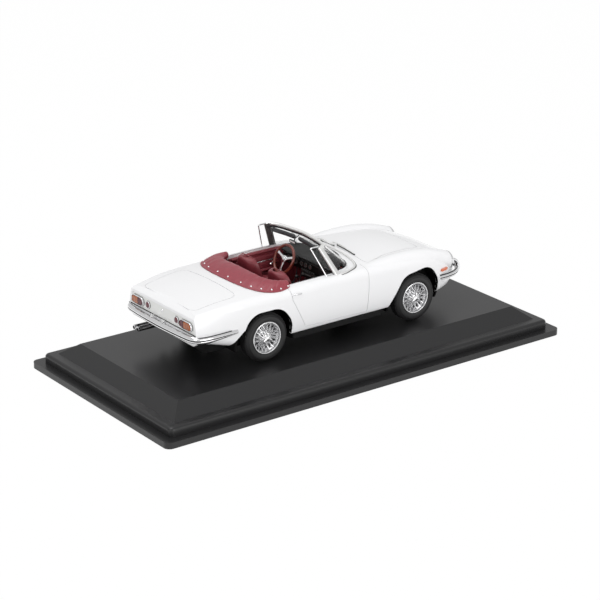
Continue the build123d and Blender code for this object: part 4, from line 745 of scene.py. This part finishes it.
def make_wipers():
    """Parked wipers: spindle, sprung arm and blade."""
    arms, blades = Shape(), Shape()
    for start, end in WIPERS:
        def over(share, lift):
            """A point over the body, some way from the spindle to the tip."""
            x, y = (a + (b - a) * share for a, b in zip(start, end))
            return (x, y, body_top(x, y) + lift)

        arms.dome(over(0, -0.02), UP, 0.55, 0.45)
        arms.tube([over(0, 0.35), over(0.1, 0.6), over(0.35, 0.75), over(0.62, 0.55)], 0.19, 8)
        arms.tube([over(s, 0.42 - 0.05 * abs(s - 0.6)) for s in (0.25, 0.45, 0.62, 0.8, 0.97)], 0.14, 6)
        blades.rings(along([over(s, 0.2) for s in (0.22, 0.4, 0.6, 0.8, 1)], rounded(0.28, 0.42, 0.1, 2)))
    arms.piece("wiper_arms", satin_steel, "wipers")
    blades.piece("wiper_blades", seal_and_shade_black)


make_screen_surround()
make_visors_and_mirror()
make_wipers()

# ---- bumpers
REAR_EDGE = [
    (-38.9, 19.6), (-43.6, 19.65), (-48.6, 19.55), (-51.3, 19), (-52.75, 18.1), (-53.7, 16.2), (-54.1, 13.5),
    (-54.5, 7), (-54.7, 0),
]
FRONT_EDGE = [
    (37.4, 18.9), (40.3, 18.85), (43, 18.35), (45, 17.5), (46.6, 16.35), (48.2, 14.6), (49.3, 12.8),
    (50.1, 11), (50.55, 9.4),
]
# round the bar from its upper back edge: sloping top, lip, groove, lower band; out from the bar's edge and up
BAR_SECTION = [
    (-2.6, 0.75), (-1.4, 1), (-1, 1.16), (-0.72, 1.18), (-0.45, 1.02), (-0.12, 0.6), (0, 0.32), (0, 0.08),
    (-0.06, -0.02), (-0.3, -0.05), (-0.3, -0.38), (-0.04, -0.42), (0.02, -0.65), (-0.04, -0.92), (-0.25, -1.12),
    (-0.6, -1.2), (-2.6, -1),
]
# painted shade: dark strips standing in for the shade in a bar's groove and the shadow along its upper and lower
# edge: middle out and up, depth and height
GROOVE_SHADE, UNDER_BAR_SHADOW, OVER_BAR_SHADOW = (-0.2, -0.215, 0.2, 0.33), (-0.3, -1.25, 0.3, 0.26), (-0.42, 1.12, 0.24, 0.2)
OVER_FRONT_SHADOW = (-0.45, 1.25, 0.3, 0.24)
REAR_Z, REAR_SHARE, FRONT_Z, FRONT_SHARE, FRONT_DEEP = 12.25, 0.78, 12.05, 0.64, -1.1
FLANK_END, OVER_FROM = -52.5, 4  # the edge strips end short of the corner; the upper one starts at this point
TAPER_FROM, TAPER_LENGTH, TAPER_SHARE = -48.6, 9.9, 0.75  # the bar's ends narrow from below
# side view of an overrider's middle, from its foot to its tip on the nose, and its width on the way
HORN = [(48.6, 10.6, 0.8), (49.05, 11.6, 1.1), (48.75, 13, 1.15), (47.9, 14.1, 1.05), (46.7, 14.7, 0.85),
        (45.7, 14.6, 0.6)]
HORN_Y, HORN_T = 13.4, 0.95


def tapered(rings):
    """Rings of the rear bar with the underside raised near the bar's ends."""
    rows = []
    for ring in rings:
        share = TAPER_SHARE * min(max((max(p[0] for p in ring) - TAPER_FROM) / TAPER_LENGTH, 0), 1)
        rows.append([(x, y, REAR_Z + (z - REAR_Z) * (1 - share) if z < REAR_Z else z) for x, y, z in ring])
    return rows


def strip(path, way, share, out, up, depth, height):
    """A dark strip of painted shade along a bar, set out and up from the bar's edge; way is the outward direction's
    sign.
    """
    return along(path, [(way * (out + u), share * (up + v)) for u, v in rounded(depth, height, 0.04, 2)])


def make_bumpers():
    """The grooved rear bar, and the front quarter bars with their overriders, each with its dark strips of painted
    shade.
    """
    half = smooth_path([(x, y, REAR_Z) for x, y in REAR_EDGE], 8)
    whole = half + mirrored(half[-2::-1], -1)
    bar = tapered(along(whole, [(u, REAR_SHARE * v) for u, v in BAR_SECTION]))
    Shape().rings(bar).piece("rear_bumper_bar", chrome, "rear_bumper", crease=50)
    # painted shade: a dark strip in the rear bar's groove
    shade_strips = Shape().rings(tapered(strip(whole, 1, REAR_SHARE, *GROOVE_SHADE)))
    flank = [point for point in half if point[0] > FLANK_END]
    for side, _ in SIDES:
        beside = mirrored(flank, side)
        # painted shadow: dark strips under and over the bar's flanks, where the bar meets the body
        shade_strips.rings(tapered(strip(beside, side, REAR_SHARE, *UNDER_BAR_SHADOW)))
        shade_strips.rings(strip(beside[OVER_FROM:], side, REAR_SHARE, *OVER_BAR_SHADOW))
    for side, hand in SIDES:
        edge = smooth_path([(x, side * y, FRONT_Z) for x, y in FRONT_EDGE], 6)
        section = [(-side * max(u, FRONT_DEEP), v * FRONT_SHARE) for u, v in BAR_SECTION]
        quarter = Shape().rings(along(edge, section))
        # painted shade and shadow: dark strips in the front bar's groove and along its top edge
        for place in (GROOVE_SHADE, OVER_FRONT_SHADOW):
            shade_strips.rings(strip(edge, -side, FRONT_SHARE, *place))
        horn = smooth_path(HORN, 4)
        spine = [(x, side * HORN_Y, z) for x, z, _ in horn]
        rings = along(spine, rounded(1, HORN_T, 0.4, 3), up=AHEAD)
        quarter.rings([[(x, side * HORN_Y + (y - side * HORN_Y) * width, z) for x, y, z in ring]
                       for ring, (_, _, width) in zip(rings, horn)])
        # painted shadow: a dark strip behind each overrider
        back = [(x - 0.55, y, z - 0.12) for x, y, z in spine]
        shade_strips.rings(along(back, rounded(0.6, 0.1, 0.04, 2), up=AHEAD))
        quarter.piece(f"quarter_bumper_{hand}", chrome, f"front_bumper_{hand}", crease=50)
    shade_strips.piece("bumper_painted_shade_strips", seal_and_shade_black, crease=50)


make_bumpers()

# ---- painted shade in the wheel arches: black sheets over their cut edges
ARCH_SHADE_FROM, ARCH_SHADE_TO, ARCH_SHADE_STEPS = radians(-28), radians(212), 120  # round the axle, from ahead over the top
# distances from the car's middle, from the arch's lip inwards
ARCH_SHADE_ROWS = (19.3, 19.1, 18.9, 18.6, 18.3, 18, 17.7, 17.4, 17.1, 16.8, 16.5)
ARCH_SHADE_NEAR, ARCH_SHADE_FAR, ARCH_SHADE_GAP, ARCH_SHADE_T = 7.7, 12, 0.03, 0.05  # search from and to, gap, thickness
ARCH_SHADE_JUMP = 0.3  # what lies this much beyond the cut edge is another wall


def arch_reach(x, y, angle):
    """How far the arch's cut edge lies from the axle in one direction, or nothing where the arch is open."""
    way = Vector((cos(angle), 0, sin(angle)))
    start = car((x, y, AXLE_Z)) + way * ARCH_SHADE_NEAR * MM
    depth = SHELL.ray_cast(start, way, (ARCH_SHADE_FAR - ARCH_SHADE_NEAR) * MM)[3]
    return depth and ARCH_SHADE_NEAR + depth / MM


def cut_edge(x, side, angle):
    """The arch's cut edge in one direction, from its lip inwards: distances from the middle and the axle."""
    reach = [(y, arch_reach(x, side * y, angle)) for y in ARCH_SHADE_ROWS]
    nearest = min([r for _, r in reach if r], default=0)
    return [(y, r) for y, r in reach if r and r < nearest + ARCH_SHADE_JUMP]


def make_arch_shades():
    """Black sheets over the cut edges of the four arches, painted shade where the white edges sit in the arches'
    shade.
    """
    for end, x in AXLES:
        for side, hand in SIDES:
            shade_sheet, run = Shape(), []
            for k in range(ARCH_SHADE_STEPS + 1):
                a = ARCH_SHADE_FROM + (ARCH_SHADE_TO - ARCH_SHADE_FROM) * k / ARCH_SHADE_STEPS
                found = cut_edge(x, side, a)
                if len(found) > 1:
                    found += [found[-1]] * (len(ARCH_SHADE_ROWS) - len(found))
                    face = [(y, r - ARCH_SHADE_GAP) for y, r in found]
                    back = [(y, r - ARCH_SHADE_T) for y, r in reversed(face)]
                    run.append([(x + r * cos(a), side * y, AXLE_Z + r * sin(a)) for y, r in face + back])
                if len(found) < 2 or k == ARCH_SHADE_STEPS:
                    if len(run) > 2:
                        shade_sheet.rings(run)
                    run = []
            # painted shade, in the chassis's black
            shade_sheet.piece(f"arch_painted_shade_{end}_{hand}", chassis_plastic, crease=50)


make_arch_shades()

# ---- tail lamps, headlamps, handles
TAIL_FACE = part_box("tail_panel")[0].x / MM - CAR_X
PILL_Y, PILL_Z, PILL_W, PILL_H, PILL_R, PILL_SPLIT, SPLIT_GAP = 12.8, 15.45, 5.7, 2.2, 1.05, 12, 0.04
PILL_FROM, PILL_TO, LENS_RIBS, RIB_HALF = 9.9, 15.7, 4, 0.75  # just past the lamp's ends; moulded ribs of each lens
DOT_Y, DOT_R = 7.6, 0.95
TAIL_SEAM_Z = 13.35  # the dark joint under the tail panel
LENS_STEPS = [(0, 0), (0, 0.5), (0.12, 0.72), (0.35, 0.85)]  # inset and how far proud


def pill(side, grow, proud):
    """The outline of a pill-shaped lamp, grown a little, some way proud of the tail panel."""
    return [(TAIL_FACE - proud, side * PILL_Y + u, PILL_Z + v)
            for u, v in rounded(PILL_W + grow, PILL_H + grow, PILL_R + grow / 2, 8)]


def pill_part(side, low, high):
    """The part of a pill-shaped lens between two distances from the car's middle, with moulded ribs."""
    shape = Shape().rings([[(TAIL_FACE - proud, side * min(max(PILL_Y + u * (1 - 2 * inset / PILL_W), low), high),
                             PILL_Z + v * (1 - 2 * inset / PILL_H)) for u, v in rounded(PILL_W, PILL_H, PILL_R, 8)]
                           for inset, proud in LENS_STEPS])
    for k in range(LENS_RIBS):
        y = side * (low + (high - low) * (k + 0.5) / LENS_RIBS)
        shape.tube([(TAIL_FACE - 0.84, y, PILL_Z + v) for v in (-RIB_HALF, RIB_HALF)], 0.1, 6, up=AHEAD)
    return shape


def make_tail_lamps():
    """Two-colour pill lamps in bright rims, round reflectors, the boot lock, dark joints, and dark plates round the
    lenses that paint the rims' dark reflection as an outline.
    """
    reds, ambers, rims, dots, dark_joints_and_outlines = (Shape() for _ in range(5))
    for side, _ in SIDES:
        reds.add(pill_part(side, PILL_FROM, PILL_SPLIT - SPLIT_GAP))
        ambers.add(pill_part(side, PILL_SPLIT + SPLIT_GAP, PILL_TO))
        rims.rings(along(pill(side, 0.3, 0.35), rounded(0.2, 0.7, 0.08, 2), closed=True, up=AHEAD), loop=True)
        # painted reflection: dark plates a little larger than each lens, standing in for the rim's dark reflection
        # round it
        for grow, proud in ((0.22, 0.5), (0.55, 0.12)):
            dark_joints_and_outlines.rings([pill(side, grow, 0), pill(side, grow, proud)])
        dark_joints_and_outlines.dome((TAIL_FACE, side * DOT_Y, PILL_Z), (-1, 0, 0), DOT_R + 0.28, 0.12, 24)
        dark_joints_and_outlines.tube([(TAIL_FACE - 0.78, side * PILL_SPLIT, PILL_Z + v) for v in (-1.1, 1.1)], 0.12, 6, up=AHEAD)
        dots.dome((TAIL_FACE - 0.05, side * DOT_Y, PILL_Z), (-1, 0, 0), DOT_R, 0.6, 24)
        ring = [(TAIL_FACE - 0.2, side * DOT_Y + u, PILL_Z + v) for u, v in ring_of(DOT_R + 0.07, 28)]
        rims.tube(ring, 0.13, 8, closed=True, up=AHEAD)
    rims.dome((TAIL_FACE, 0, 16), (-1, 0, 0), 0.5, 0.35, 20)
    dark_joints_and_outlines.tube([(TAIL_FACE - 0.08, y, TAIL_SEAM_Z) for y in (-17.2, -8.6, 0, 8.6, 17.2)], 0.14, 6)
    dark_joints_and_outlines.piece("tail_joints_and_painted_outlines", seal_and_shade_black)
    reds.piece("ribbed_red_lenses", lens_red, "tail_lamps_red", crease=30)
    ambers.piece("ribbed_amber_lenses", lens_amber, "tail_lamps_amber", crease=30)
    rims.piece("tail_lamp_rims", chrome, "tail_lamp_bezels", crease=50)
    dots.piece("round_reflectors", lens_red, "rear_reflectors")


LAMP_PLACE, LAMP_TILT, LAMP_SIDES = (43.1, 14.4, 15.75), radians(10), 48
# distance along the lamp's axis and radius
LAMP_RIM = [(0, 2.7), (0.75, 2.7), (1, 2.6), (1.05, 2.45), (0.95, 2.32), (0.6, 2.28), (0, 2.28)]
LAMP_BOWL = [(0.55, 2.28), (0.1, 2), (-0.4, 1.4), (-0.7, 0.7), (-0.75, 0.15)]
LAMP_LENS = [(0.55, 2.29), (0.8, 2.1), (1.05, 1.6), (1.2, 0.9), (1.25, 0.2)]


def make_headlamps():
    """Bright rims, domed lenses and the bowls behind them."""
    bowls, lenses, rims, seals = (Shape() for _ in range(4))
    for side, _ in SIDES:
        at = Matrix.Translation(*mirrored([LAMP_PLACE], side)) @ facing((cos(LAMP_TILT), 0, sin(LAMP_TILT)))
        seal = [(u, v, 0.12) for u, v in ring_of(2.72, LAMP_SIDES)]
        seals.add(Shape().tube(seal, 0.13, 6, closed=True).moved(at))
        for shape, profile, loop, caps in ((rims, LAMP_RIM, True, False), (bowls, LAMP_BOWL, False, False),
                                           (lenses, LAMP_LENS, False, True)):
            shape.add(Shape().turned(profile, LAMP_SIDES, loop, caps).moved(at))
    rims.piece("headlamp_rims", chrome, "headlamp_bezels", crease=50)
    seals.piece("headlamp_seals", seal_and_shade_black)
    bowls.piece("headlamp_bowls", chrome)
    lenses.piece("headlamp_glasses", lamp_clear, "headlamp_lenses", crease=50)


# along a handle: x, y and z
HANDLE = [
    (-18.6, 19, 19.15), (-18.2, 19.35, 19.15), (-17.2, 19.45, 19.1), (-16.3, 19.37, 19.05), (-15.9, 19, 19.05),
]


def make_handles():
    """Pull handles with their push buttons."""
    handles = Shape()
    for side, _ in SIDES:
        handles.rings(along(smooth_path(mirrored(HANDLE, side), 5), rounded(0.26, 0.36, 0.12, 3)))
        handles.dome((-19.2, side * 19.1, 19), (0, side, 0.25), 0.26, 0.2, 14)
    handles.piece("push_button_handles", chrome, "door_handles", crease=50)


make_tail_lamps()
make_headlamps()
make_handles()

# ---- floor, light and camera
FLOOR_WHITE = 0.97  # share of the floor that shows as plain white; the rest keeps the shadow


def make_floor():
    """A pale floor that shows plain white to the camera, to mirrors and through glass."""
    bpy.ops.mesh.primitive_plane_add(size=8)
    floor = bpy.context.object
    floor.name = "floor"
    mat = material("floor_white", (0.93, 0.93, 0.93), 0.9)
    nodes_of, link = mat.node_tree.nodes, mat.node_tree.links.new
    path = nodes_of.new("ShaderNodeLightPath")
    share = path.outputs["Is Camera Ray"]
    for operation, other in (("MAXIMUM", path.outputs["Is Glossy Ray"]),
                             ("MAXIMUM", path.outputs["Is Transmission Ray"]), ("MULTIPLY", None)):
        step = nodes_of.new("ShaderNodeMath")
        step.operation = operation
        step.inputs[1].default_value = FLOOR_WHITE
        link(share, step.inputs[0])
        if other:
            link(other, step.inputs[1])
        share = step.outputs[0]
    mix = nodes_of.new("ShaderNodeMixShader")
    for output, socket in ((share, 0), (nodes_of["Principled BSDF"].outputs[0], 1),
                           (nodes_of.new("ShaderNodeEmission").outputs[0], 2)):
        link(output, mix.inputs[socket])
    link(mix.outputs[0], nodes_of["Material Output"].inputs["Surface"])
    floor.data.materials.append(mat)


make_floor()
scene.world = bpy.data.worlds.new("studio")
scene.world.use_nodes = True
fill(scene.world.node_tree.nodes["Background"], Color=(1, 1, 1, 1), Strength=0.62)

# square area lights: place and size in metres, power in watts
SOFTBOXES = {"top": ((-0.15, 0.1, 0.9), 0.7, 3.6), "left": ((-0.8, -0.3, 0.5), 0.5, 1),
             "near": ((0.1, -0.9, 0.3), 0.6, 2.4)}
LIGHT_AIM = Vector((0, 0, 0.02))
# the photograph's view, solved from the plinth's corners
AZIMUTH, ELEVATION = radians(-36.409), radians(20.785)
TARGET, DISTANCE = Vector((2.184, 3.215, 15)) * MM, 666.55 * MM


def aimed(name, data, spot, target):
    """A light or camera at a spot, turned to a target."""
    obj = bpy.data.objects.new(name, data)
    scene.collection.objects.link(obj)
    obj.location = spot
    obj.rotation_euler = (target - obj.location).to_track_quat("-Z", "Y").to_euler()
    return obj


for name, (spot, size, power) in SOFTBOXES.items():
    box = bpy.data.lights.new(f"{name}_softbox", "AREA")
    box.size, box.energy = size, power
    aimed(box.name, box, spot, LIGHT_AIM)
lens = bpy.data.cameras.new("camera")
lens.sensor_width, lens.lens, lens.clip_start = 36, 130.5, 0.01
view = Vector((sin(AZIMUTH) * cos(ELEVATION), -cos(AZIMUTH) * cos(ELEVATION), sin(ELEVATION)))
scene.camera = aimed("camera", lens, TARGET + DISTANCE * view, TARGET)
scene.view_settings.view_transform = "Standard"
